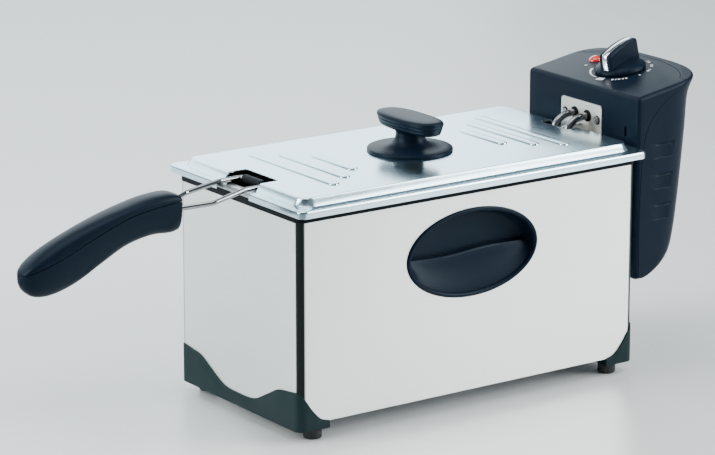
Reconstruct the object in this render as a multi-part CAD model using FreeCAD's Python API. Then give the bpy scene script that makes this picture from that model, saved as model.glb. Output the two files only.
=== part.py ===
"""Deep fryer with a lift-out oil pan, a lift-off control head that carries the heating element, a wire
basket with a folding handle, and a loose lid. Millimetres, +Z up, +X towards the control head.
Everything is laid out from the centre of the casing, then moved so that the origin is under the middle
of the whole object."""
import FreeCAD, Part
import math
import os

Vector = FreeCAD.Vector

# ---- driving dimensions -------------------------------------------------------------------------
CASING_LENGTH = 362.7
CASING_WIDTH = 186.0
CASING_BOTTOM = 16.2
CASING_TOP = 196.0
CASING_CORNER = 7.0
SHEET = 1.0

FOOT_HEIGHT = 9.8
FOOT_RADIUS = 8.0
FOOT_X = 160.9
FOOT_Y = 82.0

LID_OVERHANG_X = 5.0
LID_OVERHANG_Y = 10.9
LID_EDGE_BOTTOM = 199.1
LID_FLANGE_TOP = 205.8
LID_PANEL_TOP = 212.6

PAN_INNER_X = 173.0
PAN_INNER_Y = 74.0
PAN_FLOOR = 32.0
PAN_FLANGE_TOP = 204.4
REST_GAP = 0.3

BASKET_LEFT = -158.0
BASKET_RIGHT = 155.0
BASKET_HALF_WIDTH = 66.0
BASKET_BOTTOM = 60.0
BASKET_RIM_Z = 197.6

HANDLE_PIVOT_X = -164.5
HANDLE_PIVOT_Z = 207.5
HANDLE_WIRE = 2.25
GRIP_FRONT_X = -244.0
GRIP_TIP_X = -396.0

HEAD_FRONT_X = 194.0
HEAD_HALF_WIDTH = 80.0
HEAD_BOTTOM = 80.0
HEAD_TOP_FRONT_Z = 247.7
HEAD_TOP_SLOPE = 9.5
HEAD_REAR_X = 280.3
HEAD_WALL = 2.5

ELEMENT_TUBE = 3.25
ELEMENT_LEG_X = 167.0
ELEMENT_LEG_Y = 9.0
ELEMENT_EXIT_Z = 219.0
ELEMENT_Z = 44.0

KNOB_X = 238.0
KNOB_TURN = 13.0
LAMP_X = 243.0
LAMP_Y = 42.0

HALF_X = CASING_LENGTH / 2
HALF_Y = CASING_WIDTH / 2
ORIGIN_X = (GRIP_TIP_X + HEAD_REAR_X) / 2

NODES = {}


# ---- small geometry helpers ---------------------------------------------------------------------
def box(x0, x1, y0, y1, z0, z1):
    return Part.makeBox(x1 - x0, y1 - y0, z1 - z0, Vector(x0, y0, z0))


def rod(radius, start, end):
    start, end = Vector(*start), Vector(*end)
    return Part.makeCylinder(radius, (end - start).Length, start, end - start)


def fuse(shapes):
    joined = shapes[0].multiFuse(shapes[1:]) if len(shapes) > 1 else shapes[0]
    return joined.removeSplitter()


def cut(shape, tools):
    for tool in tools:
        shape = shape.cut(tool)
    return shape


def mirrored(shape):
    """The same shape on the other side of the plane y = 0."""
    return shape.mirror(Vector(0, 0, 0), Vector(0, 1, 0))


def rounded_path(points, radii, closed=False):
    """Wire of straight runs joined by tangent arcs. radii is one radius, or one for each corner."""
    points = [Vector(*point) for point in points]
    count = len(points)
    corners = list(range(count)) if closed else list(range(1, count - 1))
    if not isinstance(radii, (list, tuple)):
        radii = [radii] * len(corners)
    edges = []
    ends = []
    for index, radius in zip(corners, radii):
        here = points[index]
        back = (points[index - 1] - here).normalize()
        ahead = (points[(index + 1) % count] - here).normalize()
        half_turn = back.getAngle(ahead) / 2
        reach = radius / math.tan(half_turn)
        middle = (back + ahead).normalize() * (radius / math.sin(half_turn) - radius)
        ends.append((here + back * reach, here + middle, here + ahead * reach))
    cursor = ends[-1][2] if closed else points[0]
    for start, middle, end in ends:
        if (start - cursor).Length > 1e-6:
            edges.append(Part.LineSegment(cursor, start).toShape())
        edges.append(Part.Arc(start, middle, end).toShape())
        cursor = end
    if not closed:
        edges.append(Part.LineSegment(cursor, points[-1]).toShape())
    return Part.Wire(edges)


def bent_rod(points, radii, radius, closed=False):
    """Round wire or tube of the given radius along straight runs and tangent arcs."""
    path = rounded_path(points, radii, closed)
    first = path.Edges[0]
    start = first.valueAt(first.FirstParameter)
    profile = Part.Wire(Part.makeCircle(radius, start, first.tangentAt(first.FirstParameter)))
    return path.makePipeShell([profile], True, False)


def rectangle_wire(half_x, half_y, corner, z, centre_x=0.0):
    corners = [(centre_x + sx * half_x, sy * half_y, z) for sx, sy in ((-1, -1), (1, -1), (1, 1), (-1, 1))]
    return rounded_path(corners, corner, closed=True)


def slab(half_x, half_y, corner, z0, z1, centre_x=0.0):
    """Upright block with rounded corners, centred on centre_x."""
    face = Part.Face(rectangle_wire(half_x, half_y, corner, z0, centre_x))
    return face.extrude(Vector(0, 0, z1 - z0))


def frustum(low, high, z0, z1):
    """Tapered block between two (half_x, half_y, corner) outlines."""
    return Part.makeLoft([rectangle_wire(*low, z0), rectangle_wire(*high, z1)], True, True)


def ellipse_block(half_x, half_z, y0, y1, centre_z):
    centre = Vector(0, y0, centre_z)
    ring = Part.Ellipse(centre + Vector(half_x, 0, 0), centre + Vector(0, 0, half_z), centre)
    return Part.Face(Part.Wire(ring.toShape())).extrude(Vector(0, y1 - y0, 0))


def outline_block(points, direction):
    """Extrude a flat straight-sided outline."""
    corners = [Vector(*point) for point in points]
    return Part.Face(Part.makePolygon(corners + corners[:1])).extrude(Vector(*direction))


def under_curve(curve_points, floor_points, direction):
    """Extrude the area between a smooth curve and the straight outline that closes it."""
    curve = Part.BSplineCurve()
    curve.interpolate([Vector(*point) for point in curve_points])
    floor = [Vector(*point) for point in [curve_points[-1], *floor_points, curve_points[0]]]
    return Part.Face(Part.Wire([curve.toShape(), *Part.makePolygon(floor).Edges])).extrude(Vector(*direction))


def turned(profile, centre):
    """Solid of revolution about the vertical through centre, from (radius, z) points."""
    corners = [Vector(centre[0] + radius, centre[1], z) for radius, z in profile]
    face = Part.Face(Part.makePolygon(corners + corners[:1]))
    return face.revolve(Vector(centre[0], centre[1], 0), Vector(0, 0, 1), 360)


def screw(head_radius, head_height, shaft_radius, shaft_length, seat, direction):
    """Pan-head screw whose head sits on the point seat and whose shaft runs along direction."""
    seat, direction = Vector(*seat), Vector(*direction)
    head = Part.makeCylinder(head_radius, head_height, seat - direction * head_height, direction)
    slot = box(-head_radius, head_radius, -0.5, 0.5, -0.9, 0.1)
    turn = FreeCAD.Rotation(Vector(0, 0, -1), direction)
    slot.Placement = FreeCAD.Placement(seat - direction * head_height, turn)
    return head.fuse(Part.makeCylinder(shaft_radius, shaft_length, seat, direction)).cut(slot)


def add(name, shape):
    NODES[name] = shape


# ---- casing, base, skirts and feet --------------------------------------------------------------
GRIP_CUP_Z = 140.4
GRIP_CUP_X = 70.5
GRIP_CUP_HEIGHT = 39.7
GUIDE_SCREWS = [(y, z) for y in (-20.0, 20.0) for z in (105.0, 175.0)]
GUIDE_SCREW_RADIUS = 2.0


def casing():
    outer = slab(HALF_X, HALF_Y, CASING_CORNER, CASING_BOTTOM, CASING_TOP)
    inner = slab(HALF_X - SHEET, HALF_Y - SHEET, CASING_CORNER - SHEET, CASING_BOTTOM, CASING_TOP)
    ovals = ellipse_block(GRIP_CUP_X - 2.0, GRIP_CUP_HEIGHT - 2.0, -HALF_Y - 1, HALF_Y + 1, GRIP_CUP_Z)
    holes = [rod(GUIDE_SCREW_RADIUS, (HALF_X - 2, y, z), (HALF_X + 1, y, z)) for y, z in GUIDE_SCREWS]
    return cut(outer, [inner, ovals, *holes])


BASE_Z = 17.0
BASE_SHEET = 1.5
FOOT_CENTRES = [(sx * FOOT_X, sy * FOOT_Y) for sx in (-1, 1) for sy in (-1, 1)]
FOOT_NAMES = ["foot_left_front", "foot_left_back", "foot_right_front", "foot_right_back"]
FOOT_SCREW_RADIUS = 2.0


def base_plate():
    half_x, half_y, corner = HALF_X - SHEET, HALF_Y - SHEET, CASING_CORNER - SHEET
    floor = slab(half_x, half_y, corner, BASE_Z, BASE_Z + BASE_SHEET)
    wall = slab(half_x, half_y, corner, BASE_Z, BASE_Z + 11)
    hollow = slab(half_x - SHEET, half_y - SHEET, corner - SHEET, BASE_Z, BASE_Z + 11)
    vents = [box(x, x + 30, y - 2, y + 2, BASE_Z - 1, BASE_Z + 3) for x in (-60, -15, 30) for y in (-40, 0, 40)]
    holes = [rod(FOOT_SCREW_RADIUS, (x, y, BASE_Z - 1), (x, y, BASE_Z + 3)) for x, y in FOOT_CENTRES]
    return cut(floor.fuse(wall.cut(hollow)).removeSplitter(), vents + holes)


SKIRT_PROUD = 1.1
SKIRT_INNER_END = 151.0
SKIRT_PEAK = 45.6
SKIRT_LOW = 21.5
SKIRT_PLATE = 2.5


def end_skirt():
    """Moulded skirt round the right-hand end: its upper edge dips in a wave across the end face and
    sweeps down along both long faces."""
    outer = (HALF_X + SKIRT_PROUD, HALF_Y + SKIRT_PROUD, CASING_CORNER + SKIRT_PROUD)
    wall = slab(*outer, FOOT_HEIGHT, SKIRT_PEAK + 1)
    wall = wall.cut(slab(HALF_X, HALF_Y, CASING_CORNER, CASING_BOTTOM, SKIRT_PEAK + 1))
    wall = wall.cut(slab(HALF_X - 2, HALF_Y - 2, CASING_CORNER - 2, FOOT_HEIGHT, CASING_BOTTOM))
    reach_x, reach_y = HALF_X + 3, HALF_Y + 3
    half_wave = [(78, 43.4), (60, 40.5), (45, 33), (24, 23.2)]
    wave = [(SKIRT_INNER_END, -reach_y, SKIRT_PEAK)]
    wave += [(SKIRT_INNER_END, -y, z) for y, z in half_wave] + [(SKIRT_INNER_END, 0, SKIRT_LOW)]
    wave += [(SKIRT_INNER_END, y, z) for y, z in reversed(half_wave)]
    wave += [(SKIRT_INNER_END, reach_y, SKIRT_PEAK)]
    end_area = under_curve(wave, [(SKIRT_INNER_END, reach_y, 0), (SKIRT_INNER_END, -reach_y, 0)],
                           (reach_x - SKIRT_INNER_END, 0, 0))
    sweep = [(SKIRT_INNER_END, 16.5), (160, 19.5), (168.5, 28), (176, 38.5), (reach_x, SKIRT_PEAK + 2)]
    side_area = under_curve([(x, -reach_y, z) for x, z in sweep],
                            [(reach_x, -reach_y, 0), (SKIRT_INNER_END, -reach_y, 0)], (0, 2 * reach_y, 0))
    wall = wall.common(end_area).common(side_area)
    plate = slab(*outer, FOOT_HEIGHT, FOOT_HEIGHT + SKIRT_PLATE)
    plate = plate.common(box(SKIRT_INNER_END, reach_x, -reach_y, reach_y, 0, CASING_BOTTOM))
    bosses = [rod(6.0, (FOOT_X, sy * FOOT_Y, FOOT_HEIGHT), (FOOT_X, sy * FOOT_Y, BASE_Z)) for sy in (-1, 1)]
    holes = [rod(FOOT_SCREW_RADIUS, (FOOT_X, sy * FOOT_Y, 0), (FOOT_X, sy * FOOT_Y, BASE_Z)) for sy in (-1, 1)]
    return cut(fuse([wall, plate, *bosses]), holes)


def foot(x, y):
    profile = [(0, 0), (FOOT_RADIUS - 1, 0), (FOOT_RADIUS, 1), (FOOT_RADIUS, FOOT_HEIGHT), (0, FOOT_HEIGHT)]
    recess = rod(4.5, (x, y, 0), (x, y, 5))
    hole = rod(FOOT_SCREW_RADIUS, (x, y, 0), (x, y, FOOT_HEIGHT))
    return cut(turned(profile, (x, y)), [recess, hole])


def foot_screws():
    length = BASE_Z + BASE_SHEET + 2 - 5
    return Part.Compound([screw(3.6, 2.2, FOOT_SCREW_RADIUS, length, (x, y, 5), (0, 0, 1))
                          for x, y in FOOT_CENTRES])


RIM_TOP = 199.2


def top_rim():
    """Heat-resistant rim that caps the casing's upper edge and carries the pan's flange."""
    cap = slab(HALF_X + 0.6, HALF_Y + 0.6, CASING_CORNER + 0.6, CASING_TOP, RIM_TOP)
    lip = slab(HALF_X - SHEET, HALF_Y - SHEET, CASING_CORNER - SHEET, CASING_TOP - 7, CASING_TOP)
    wall = SHEET + 2
    hollow = slab(HALF_X - wall, HALF_Y - wall, CASING_CORNER - wall, CASING_TOP - 8, RIM_TOP + 1)
    return fuse([cap, lip]).cut(hollow)


# ---- recessed carrying grips on the long faces ---------------------------------------------------
GRIP_CUP_BACK = HALF_Y - 14.8
GRIP_CUP_CREASE_Y = HALF_Y - 8.5


def side_grip_front():
    """Oval cup let into the front face: a ramp below its middle and a finger pocket above it."""
    bezel = ellipse_block(GRIP_CUP_X, GRIP_CUP_HEIGHT, -HALF_Y - 1.8, -HALF_Y, GRIP_CUP_Z)
    sleeve = ellipse_block(GRIP_CUP_X - 2.2, GRIP_CUP_HEIGHT - 2.2, -HALF_Y, -GRIP_CUP_BACK, GRIP_CUP_Z)
    hollow = ellipse_block(GRIP_CUP_X - 4.2, GRIP_CUP_HEIGHT - 4.2, -HALF_Y - 2, -GRIP_CUP_BACK - 1.5,
                           GRIP_CUP_Z)
    low_z = GRIP_CUP_Z - GRIP_CUP_HEIGHT
    ramp = outline_block([(-GRIP_CUP_X, -HALF_Y - 0.6, low_z), (-GRIP_CUP_X, -GRIP_CUP_CREASE_Y, GRIP_CUP_Z),
                          (-GRIP_CUP_X, -GRIP_CUP_BACK - 1, GRIP_CUP_Z),
                          (-GRIP_CUP_X, -GRIP_CUP_BACK - 1, low_z)],
                         (2 * GRIP_CUP_X, 0, 0)).common(hollow)
    bezel = bezel.makeChamfer(0.9, [edge for edge in bezel.Edges if edge.BoundBox.YMax < -HALF_Y - 1.7])
    return fuse([bezel.fuse(sleeve).cut(hollow), ramp])


def grip_retainers():
    """Spring rings that hold the grips from inside the casing."""
    outer = ellipse_block(GRIP_CUP_X + 3, GRIP_CUP_HEIGHT + 3, -HALF_Y + SHEET, -HALF_Y + SHEET + 1.5,
                          GRIP_CUP_Z)
    hole = ellipse_block(GRIP_CUP_X - 2.2, GRIP_CUP_HEIGHT - 2.2, -HALF_Y, -HALF_Y + SHEET + 2, GRIP_CUP_Z)
    ring = outer.cut(hole)
    return Part.Compound([ring, mirrored(ring)])


# ---- guide for the control head -----------------------------------------------------------------
GUIDE_BACK = 2.5
GUIDE_LOW = 95.0
GUIDE_HIGH = 185.0
RAIL_Y = 40.0
RAIL_HEAD_X = 189.0
RAIL_END_X = 192.0
RUNNER_GAP = 0.4
INTERLOCK_Z = 118.0


def rail(sy, grow=0.0):
    """Upright rail with a T section; grow makes it fatter all round, for the slot that runs on it."""
    low, high = GUIDE_LOW - grow * 4, GUIDE_HIGH + grow
    neck = box(HALF_X + GUIDE_BACK, RAIL_HEAD_X, sy * RAIL_Y - 4 - grow, sy * RAIL_Y + 4 + grow, low, high)
    head = box(RAIL_HEAD_X - grow, RAIL_END_X + grow, sy * RAIL_Y - 7 - grow, sy * RAIL_Y + 7 + grow, low, high)
    return fuse([neck, head])


def head_guide():
    back = slab(GUIDE_BACK / 2, 50, 1.0, GUIDE_LOW, GUIDE_HIGH, HALF_X + GUIDE_BACK / 2)
    holes = [rod(GUIDE_SCREW_RADIUS, (HALF_X - 1, y, z), (HALF_X + 5, y, z)) for y, z in GUIDE_SCREWS]
    return cut(fuse([back, rail(-1), rail(1)]), holes)


def guide_screws():
    seat_x = HALF_X + GUIDE_BACK
    return Part.Compound([screw(3.6, 2.2, GUIDE_SCREW_RADIUS, 6.0, (seat_x, y, z), (-1, 0, 0))
                          for y, z in GUIDE_SCREWS])


def interlock_pin():
    return rod(3.0, (HALF_X + GUIDE_BACK, 0, INTERLOCK_Z), (203.0, 0, INTERLOCK_Z))


# ---- oil pan -------------------------------------------------------------------------------------
PAN_CORNER = 24.0
PAN_DRAFT = 3.0


def oil_pan():
    """Pressed pan: drafted walls, a flat flange, and a hem turned down onto the rim of the casing."""
    top, low = PAN_FLANGE_TOP, PAN_FLOOR
    inner_top = (PAN_INNER_X, PAN_INNER_Y, PAN_CORNER)
    inner_low = (PAN_INNER_X - PAN_DRAFT, PAN_INNER_Y - PAN_DRAFT, PAN_CORNER - PAN_DRAFT)
    outer_top = tuple(size + SHEET for size in inner_top)
    outer_low = tuple(size + SHEET for size in inner_low)
    tub = frustum(outer_low, outer_top, low - SHEET, top - SHEET)
    flange = slab(HALF_X + 0.6, HALF_Y + 0.6, CASING_CORNER + 0.6, RIM_TOP + REST_GAP, top)
    under = slab(HALF_X - 0.4, HALF_Y - 0.4, CASING_CORNER - 0.4, RIM_TOP, top - SHEET)
    hollow = frustum(inner_low, inner_top, low, top)
    return fuse([flange.cut(under), tub]).cut(hollow)


# ---- heating element and sensor ------------------------------------------------------------------
ELEMENT_OUTER_Y = 48.0
ELEMENT_INNER_Y = 16.0
ELEMENT_LEFT_X = -130.0
ELEMENT_TURN_X = 96.0
SENSOR_TUBE = 1.1
SENSOR_Z = 210.0
BULB_RADIUS = 2.5
BULB_Z = 52.8


def heating_element():
    """One tube: out of the head, over the pan's flange, down to the floor, and back along four runs."""
    half = [(205.0, ELEMENT_LEG_Y, ELEMENT_EXIT_Z), (ELEMENT_LEG_X, ELEMENT_LEG_Y, ELEMENT_EXIT_Z),
            (ELEMENT_LEG_X, ELEMENT_LEG_Y, ELEMENT_Z), (132.0, ELEMENT_LEG_Y, ELEMENT_Z),
            (104.0, ELEMENT_OUTER_Y, ELEMENT_Z), (ELEMENT_LEFT_X, ELEMENT_OUTER_Y, ELEMENT_Z),
            (ELEMENT_LEFT_X, ELEMENT_INNER_Y, ELEMENT_Z), (ELEMENT_TURN_X - 10, ELEMENT_INNER_Y, ELEMENT_Z)]
    bends = [20.0, 16.0, 12.0, 16.0, 15.9, 15.9, 7.9]
    other = [(x, -y, z) for x, y, z in reversed(half)]
    return bent_rod(half + other, bends + list(reversed(bends)), ELEMENT_TUBE)


def element_straps():
    """Flat straps welded across the top of the four runs."""
    low = ELEMENT_Z + ELEMENT_TUBE - 0.3
    return Part.Compound([box(x - 4, x + 4, -ELEMENT_OUTER_Y - 5, ELEMENT_OUTER_Y + 5, low, low + 1.2)
                          for x in (-95.0, 45.0)])


def sensor_capillary():
    route = [(205.0, 0, SENSOR_Z), (ELEMENT_LEG_X, 0, SENSOR_Z), (ELEMENT_LEG_X, 0, BULB_Z), (150.0, 0, BULB_Z)]
    return bent_rod(route, [8.0, 8.0], SENSOR_TUBE)


def sensor_bulb():
    return rod(BULB_RADIUS, (150.0, 0, BULB_Z), (92.0, 0, BULB_Z))


def sensor_clip():
    """Sheet clip that ties the bulb between the two entry runs of the element."""
    plate = box(134.0, 142.0, -12.5, 12.5, ELEMENT_Z + ELEMENT_TUBE - 0.3, ELEMENT_Z + ELEMENT_TUBE + 0.7)
    saddle = rod(BULB_RADIUS + 1.2, (134.0, 0, BULB_Z), (142.0, 0, BULB_Z))
    leg = box(134.0, 142.0, -2.0, 2.0, ELEMENT_Z + ELEMENT_TUBE, BULB_Z)
    return fuse([plate, leg, saddle]).cut(rod(BULB_RADIUS, (130.0, 0, BULB_Z), (150.0, 0, BULB_Z)))


# ---- control head --------------------------------------------------------------------------------
HEAD_SECTIONS = [(80, 208), (85, 222), (91, 233), (100, 242), (115, 247.5), (141, 252.5), (178, 257.5),
                 (217, 262), (237, 263.5), (246, 265.5), (252, 269), (257, 272), (268, 273)]
HEAD_BULGE = 8.0
HEAD_FRONT_CORNER = 8.0
HEAD_REAR_CORNER = 18.0
TILT = math.radians(HEAD_TOP_SLOPE)
PANEL_NORMAL = Vector(-math.sin(TILT), 0, math.cos(TILT))
SEAM = [(197.9, 78.0), (197.5, 145.0), (199.7, 190.0), (203.5, 215.0), (214.0, 231.5), (229.0, 243.5),
        (246.0, 251.0)]


def panel_z(x):
    """Height of the sloping top panel at x."""
    return HEAD_TOP_FRONT_Z + math.tan(TILT) * (x - HEAD_FRONT_X)


def on_panel(x, y):
    """Placement of something built upright at the origin onto the top panel at (x, y)."""
    return FreeCAD.Placement(Vector(x, y, panel_z(x)), FreeCAD.Rotation(Vector(0, 0, 1), PANEL_NORMAL))


def head_outline(z, rear, inset):
    """D-shaped outline of the head at one height: square in front, bowed at the back."""
    front, side = HEAD_FRONT_X + inset, HEAD_HALF_WIDTH - inset
    bow = rear + HEAD_BULGE - inset
    rear -= inset
    corner = min(max(HEAD_FRONT_CORNER - inset, 1.0), 0.4 * (rear - front))
    rear_corner = min(HEAD_REAR_CORNER, 0.5 * (rear - front))
    shoulder = side - rear_corner
    bend = rear_corner * (1 - math.sqrt(0.5))
    nook = corner * (1 - math.sqrt(0.5))
    near = [(front + corner, -side), (rear - rear_corner, -side), (rear - bend, -side + bend),
            (rear, -shoulder)]
    edges = []
    for sy in (1, -1):
        points = [Vector(x, sy * y, z) for x, y in near]
        pair = [Part.LineSegment(points[0], points[1]).toShape(),
                Part.Arc(points[1], points[2], points[3]).toShape()]
        tip = Part.Arc(Vector(front, sy * -(side - corner), z), Vector(front + nook, sy * -(side - nook), z),
                       points[0]).toShape()
        edges.append([tip, *pair])
    rear_arc = Part.Arc(Vector(rear, -shoulder, z), Vector(bow, 0, z), Vector(rear, shoulder, z)).toShape()
    front_edge = Part.LineSegment(Vector(front, side - corner, z), Vector(front, corner - side, z)).toShape()
    return Part.Wire(Part.sortEdges([*edges[0], rear_arc, *edges[1], front_edge])[0])


def head_body(inset):
    """The head's outer form, or with an inset the hollow inside its walls."""
    first, last = HEAD_SECTIONS[0], HEAD_SECTIONS[-1]
    sections = [head_outline(z, rear, inset) for z, rear in HEAD_SECTIONS]
    form = Part.makeLoft(sections, True, True)
    width = HEAD_HALF_WIDTH + 5
    low = first[0] + inset
    top = [(150, panel_z(150) - inset), (330, panel_z(330) - inset), (330, low), (150, low)]
    return form.common(outline_block([(x, -width, z) for x, z in top], (0, 2 * width, 0)))


def head_shell():
    return head_body(0).cut(head_body(HEAD_WALL))


def front_part_of_head():
    """The part of space in front of and above the joint line between the two covers."""
    width = HEAD_HALF_WIDTH + 5
    rear_x, rear_z = 330.0, panel_z(330.0) - 4.0
    curve = [(x, -width, z) for x, z in SEAM]
    corners = [(rear_x, -width, rear_z), (rear_x, -width, 330), (150, -width, 330), (150, -width, SEAM[0][1])]
    return under_curve(curve, corners, (0, 2 * width, 0))


GROOVES = [(132.5, 147.5), (161.0, 175.5), (189.5, 204.0)]
GROOVE_DEPTH = 1.6
PLATE_HALF = 29.0
PLATE_TOP = 231.5
PLATE_SCREW_Y = 23.0
PLATE_SCREW_Z = 217.5
COVER_SCREWS = [(sy * 66.0, z) for sy in (-1, 1) for z in (97.0, 185.0)]
COVER_SCREW_RADIUS = 1.6
SMALL_HEAD = (3.2, 1.8)
RESET_Z = 150.0
RESET_RADIUS = 4.0
GLAND_Y = -38.0
GLAND_Z = 125.0
GLAND_BORE = 3.6


def finger_grooves():
    """Wedges that leave three finger grooves in each cheek, deepest along their upper edge."""
    side = HEAD_HALF_WIDTH
    wedges = []
    for low, high in GROOVES:
        points = [(211, -side - 1, high), (211, -side + GROOVE_DEPTH, high), (211, -side - 1, low)]
        wedge = outline_block(points, (29, 0, 0))
        wedges += [wedge, mirrored(wedge)]
    return wedges


def interlock_slot():
    """Slot, open below, that lets the casing's pin pass into the head."""
    return box(HEAD_FRONT_X - 2, 206.0, -4.5, 4.5, HEAD_BOTTOM - 2, INTERLOCK_Z + 4.5)


def head_front_cover():
    shell = head_shell().common(front_part_of_head())
    openings = [interlock_slot(), box(190, 200, -20, 20, 206, 225)]
    openings += [rod(1.6, (190, sy * PLATE_SCREW_Y, PLATE_SCREW_Z), (200, sy * PLATE_SCREW_Y, PLATE_SCREW_Z))
                 for sy in (-1, 1)]
    openings += [rod(COVER_SCREW_RADIUS, (190, y, z), (200, y, z)) for y, z in COVER_SCREWS]
    openings.append(box(190, 200, -63.5, -61.0, 210, 219))
    for x, y, radius in ((KNOB_X, 0, 6.0), (LAMP_X, LAMP_Y, 5.0)):
        hole = Part.makeCylinder(radius, 12, Vector(0, 0, -8))
        hole.Placement = on_panel(x, y)
        openings.append(hole)
    return cut(shell, openings)


def head_rear_cover():
    shell = cut(head_shell(), [front_part_of_head(), *finger_grooves()])
    outer = head_body(0)
    bosses = [rod(4.5, (199.5, y, z), (275, y, z)).common(outer) for y, z in COVER_SCREWS]
    shell = fuse([shell, *bosses])
    holes = [rod(COVER_SCREW_RADIUS, (190, y, z), (222, y, z)) for y, z in COVER_SCREWS]
    holes.append(rod(RESET_RADIUS + 0.3, (240, 0, RESET_Z), (280, 0, RESET_Z)))
    holes.append(rod(6.5, (230, GLAND_Y, GLAND_Z), (280, GLAND_Y, GLAND_Z)))
    return cut(shell, [*holes, interlock_slot()])


def head_runners():
    """Channels on the head that slide down over the casing's rails."""
    channels = []
    for sy in (-1, 1):
        block = box(HALF_X + GUIDE_BACK + 1, HEAD_FRONT_X, sy * RAIL_Y - 10.5, sy * RAIL_Y + 10.5,
                    GUIDE_LOW, GUIDE_HIGH + 4)
        channels.append(block.cut(rail(sy, RUNNER_GAP)))
    return Part.Compound(channels)


PLATE_THICK = 1.2
PLATE_BOTTOM = 190.0


def element_plate():
    """Steel plate on the front of the head; the element's legs and the sensor pass through it."""
    back = HEAD_FRONT_X - PLATE_THICK
    corners = [(back, -PLATE_HALF, PLATE_BOTTOM), (back, PLATE_HALF, PLATE_BOTTOM),
               (back, PLATE_HALF, PLATE_TOP), (back, -PLATE_HALF, PLATE_TOP)]
    face = Part.Face(rounded_path(corners, [1.0, 1.0, 3.5, 3.5], closed=True))
    plate = face.extrude(Vector(PLATE_THICK, 0, 0))
    bores = [(ELEMENT_TUBE, sy * ELEMENT_LEG_Y, ELEMENT_EXIT_Z) for sy in (-1, 1)]
    bores += [(COVER_SCREW_RADIUS, sy * PLATE_SCREW_Y, PLATE_SCREW_Z) for sy in (-1, 1)]
    bores.append((SENSOR_TUBE, 0, SENSOR_Z))
    return cut(plate, [rod(radius, (back - 2, y, z), (HEAD_FRONT_X + 2, y, z)) for radius, y, z in bores])


def plate_screws():
    seats = [(HEAD_FRONT_X - PLATE_THICK, sy * PLATE_SCREW_Y, PLATE_SCREW_Z) for sy in (-1, 1)]
    return Part.Compound([screw(*SMALL_HEAD, COVER_SCREW_RADIUS, 10.0, seat, (1, 0, 0)) for seat in seats])


def cover_screws():
    return Part.Compound([screw(*SMALL_HEAD, COVER_SCREW_RADIUS, 20.0, (HEAD_FRONT_X, y, z), (1, 0, 0))
                          for y, z in COVER_SCREWS])


# ---- inside the head -----------------------------------------------------------------------------
SHAFT_RADIUS = 3.0
SHAFT_FIT = 0.05
THERMOSTAT_DROP = 6.0


def thermostat():
    """Capillary thermostat under the top panel, with a collar for the knob's shaft."""
    body = box(-17, 17, -15, 15, -THERMOSTAT_DROP - 22, -THERMOSTAT_DROP)
    collar = rod(5.5, (0, 0, -THERMOSTAT_DROP), (0, 0, -3.5))
    tabs = box(-3, 3, -19, 19, -THERMOSTAT_DROP - 20, -THERMOSTAT_DROP - 19)
    shape = fuse([body, collar, tabs]).cut(rod(SHAFT_RADIUS + SHAFT_FIT, (0, 0, -18), (0, 0, 0)))
    shape.Placement = on_panel(KNOB_X, 0)
    return shape


def thermostat_shaft():
    """D-section shaft that turns with the knob."""
    shape = rod(SHAFT_RADIUS, (0, 0, -17.5), (0, 0, 12)).cut(box(2.2, 4, -4, 4, 1.5, 13))
    shape.Placement = on_panel(KNOB_X, 0)
    return shape


def thermostat_frame():
    """Steel bracket that hangs the thermostat from the front cover."""
    low = -THERMOSTAT_DROP
    plate = box(-30, 22, -15, 15, low, low + 1.2).cut(rod(5.5, (0, 0, low - 1), (0, 0, low + 2)))
    posts = [rod(2.5, (-27, y, low + 1.2), (-27, y, -HEAD_WALL)) for y in (-11, 11)]
    shape = fuse([plate, *posts])
    shape.Placement = on_panel(KNOB_X, 0)
    return shape


def terminal_block():
    block = box(212, 226, -24, 24, 196, 208)
    holes = [rod(2.0, (219, y, 190), (219, y, 210)) for y in (-18, -6, 6, 18)]
    return cut(block, holes)


def terminal_screws():
    return Part.Compound([screw(3.0, 1.5, 1.9, 8.0, (219, y, 208), (0, 0, -1)) for y in (-18, -6, 6, 18)])


def microswitch():
    low = INTERLOCK_Z + 3.0
    body = box(197.0, 207.0, -14, 14, low + 2, low + 14)
    lever = box(198.0, 205.0, -10, 10, low + 0.2, low + 0.8)
    post = box(198.0, 205.0, 8, 10, low + 0.2, low + 2)
    return fuse([body, lever, post])


def thermal_cutout():
    """Safety cut-out behind the reset button."""
    drum = rod(9.0, (238.0, 0, RESET_Z), (249.0, 0, RESET_Z))
    lugs = box(236.5, 238.0, -14, 14, RESET_Z - 3, RESET_Z + 3)
    bore = rod(1.55, (243.0, 0, RESET_Z), (250.0, 0, RESET_Z))
    return fuse([drum, lugs]).cut(bore)


def cutout_bracket():
    """Sheet bracket that holds the cut-out's lugs, with two feet fixed to the back wall of the head."""
    upright = box(235.0, 236.5, -16, 16, RESET_Z - 12, RESET_Z + 14)
    feet = [box(236.5, 254.6, sy * 15.0 - 1, sy * 15.0 + 1, RESET_Z - 4, RESET_Z + 4) for sy in (-1, 1)]
    return fuse([upright, *feet]).cut(head_shell())


def reset_button():
    """Push button in the back of the head, with a stem that reaches into the cut-out."""
    rear = rear_x_at(RESET_Z)
    return fuse([rod(RESET_RADIUS, (rear - 6, 0, RESET_Z), (rear - 0.3, 0, RESET_Z)),
                 rod(1.5, (246.0, 0, RESET_Z), (rear - 6, 0, RESET_Z))])


def rear_x_at(z):
    """X of the head's back surface on the centre line at height z."""
    line = Part.LineSegment(Vector(200, 0, z), Vector(320, 0, z)).toShape()
    return head_body(0).common(line).BoundBox.XMax


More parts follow.
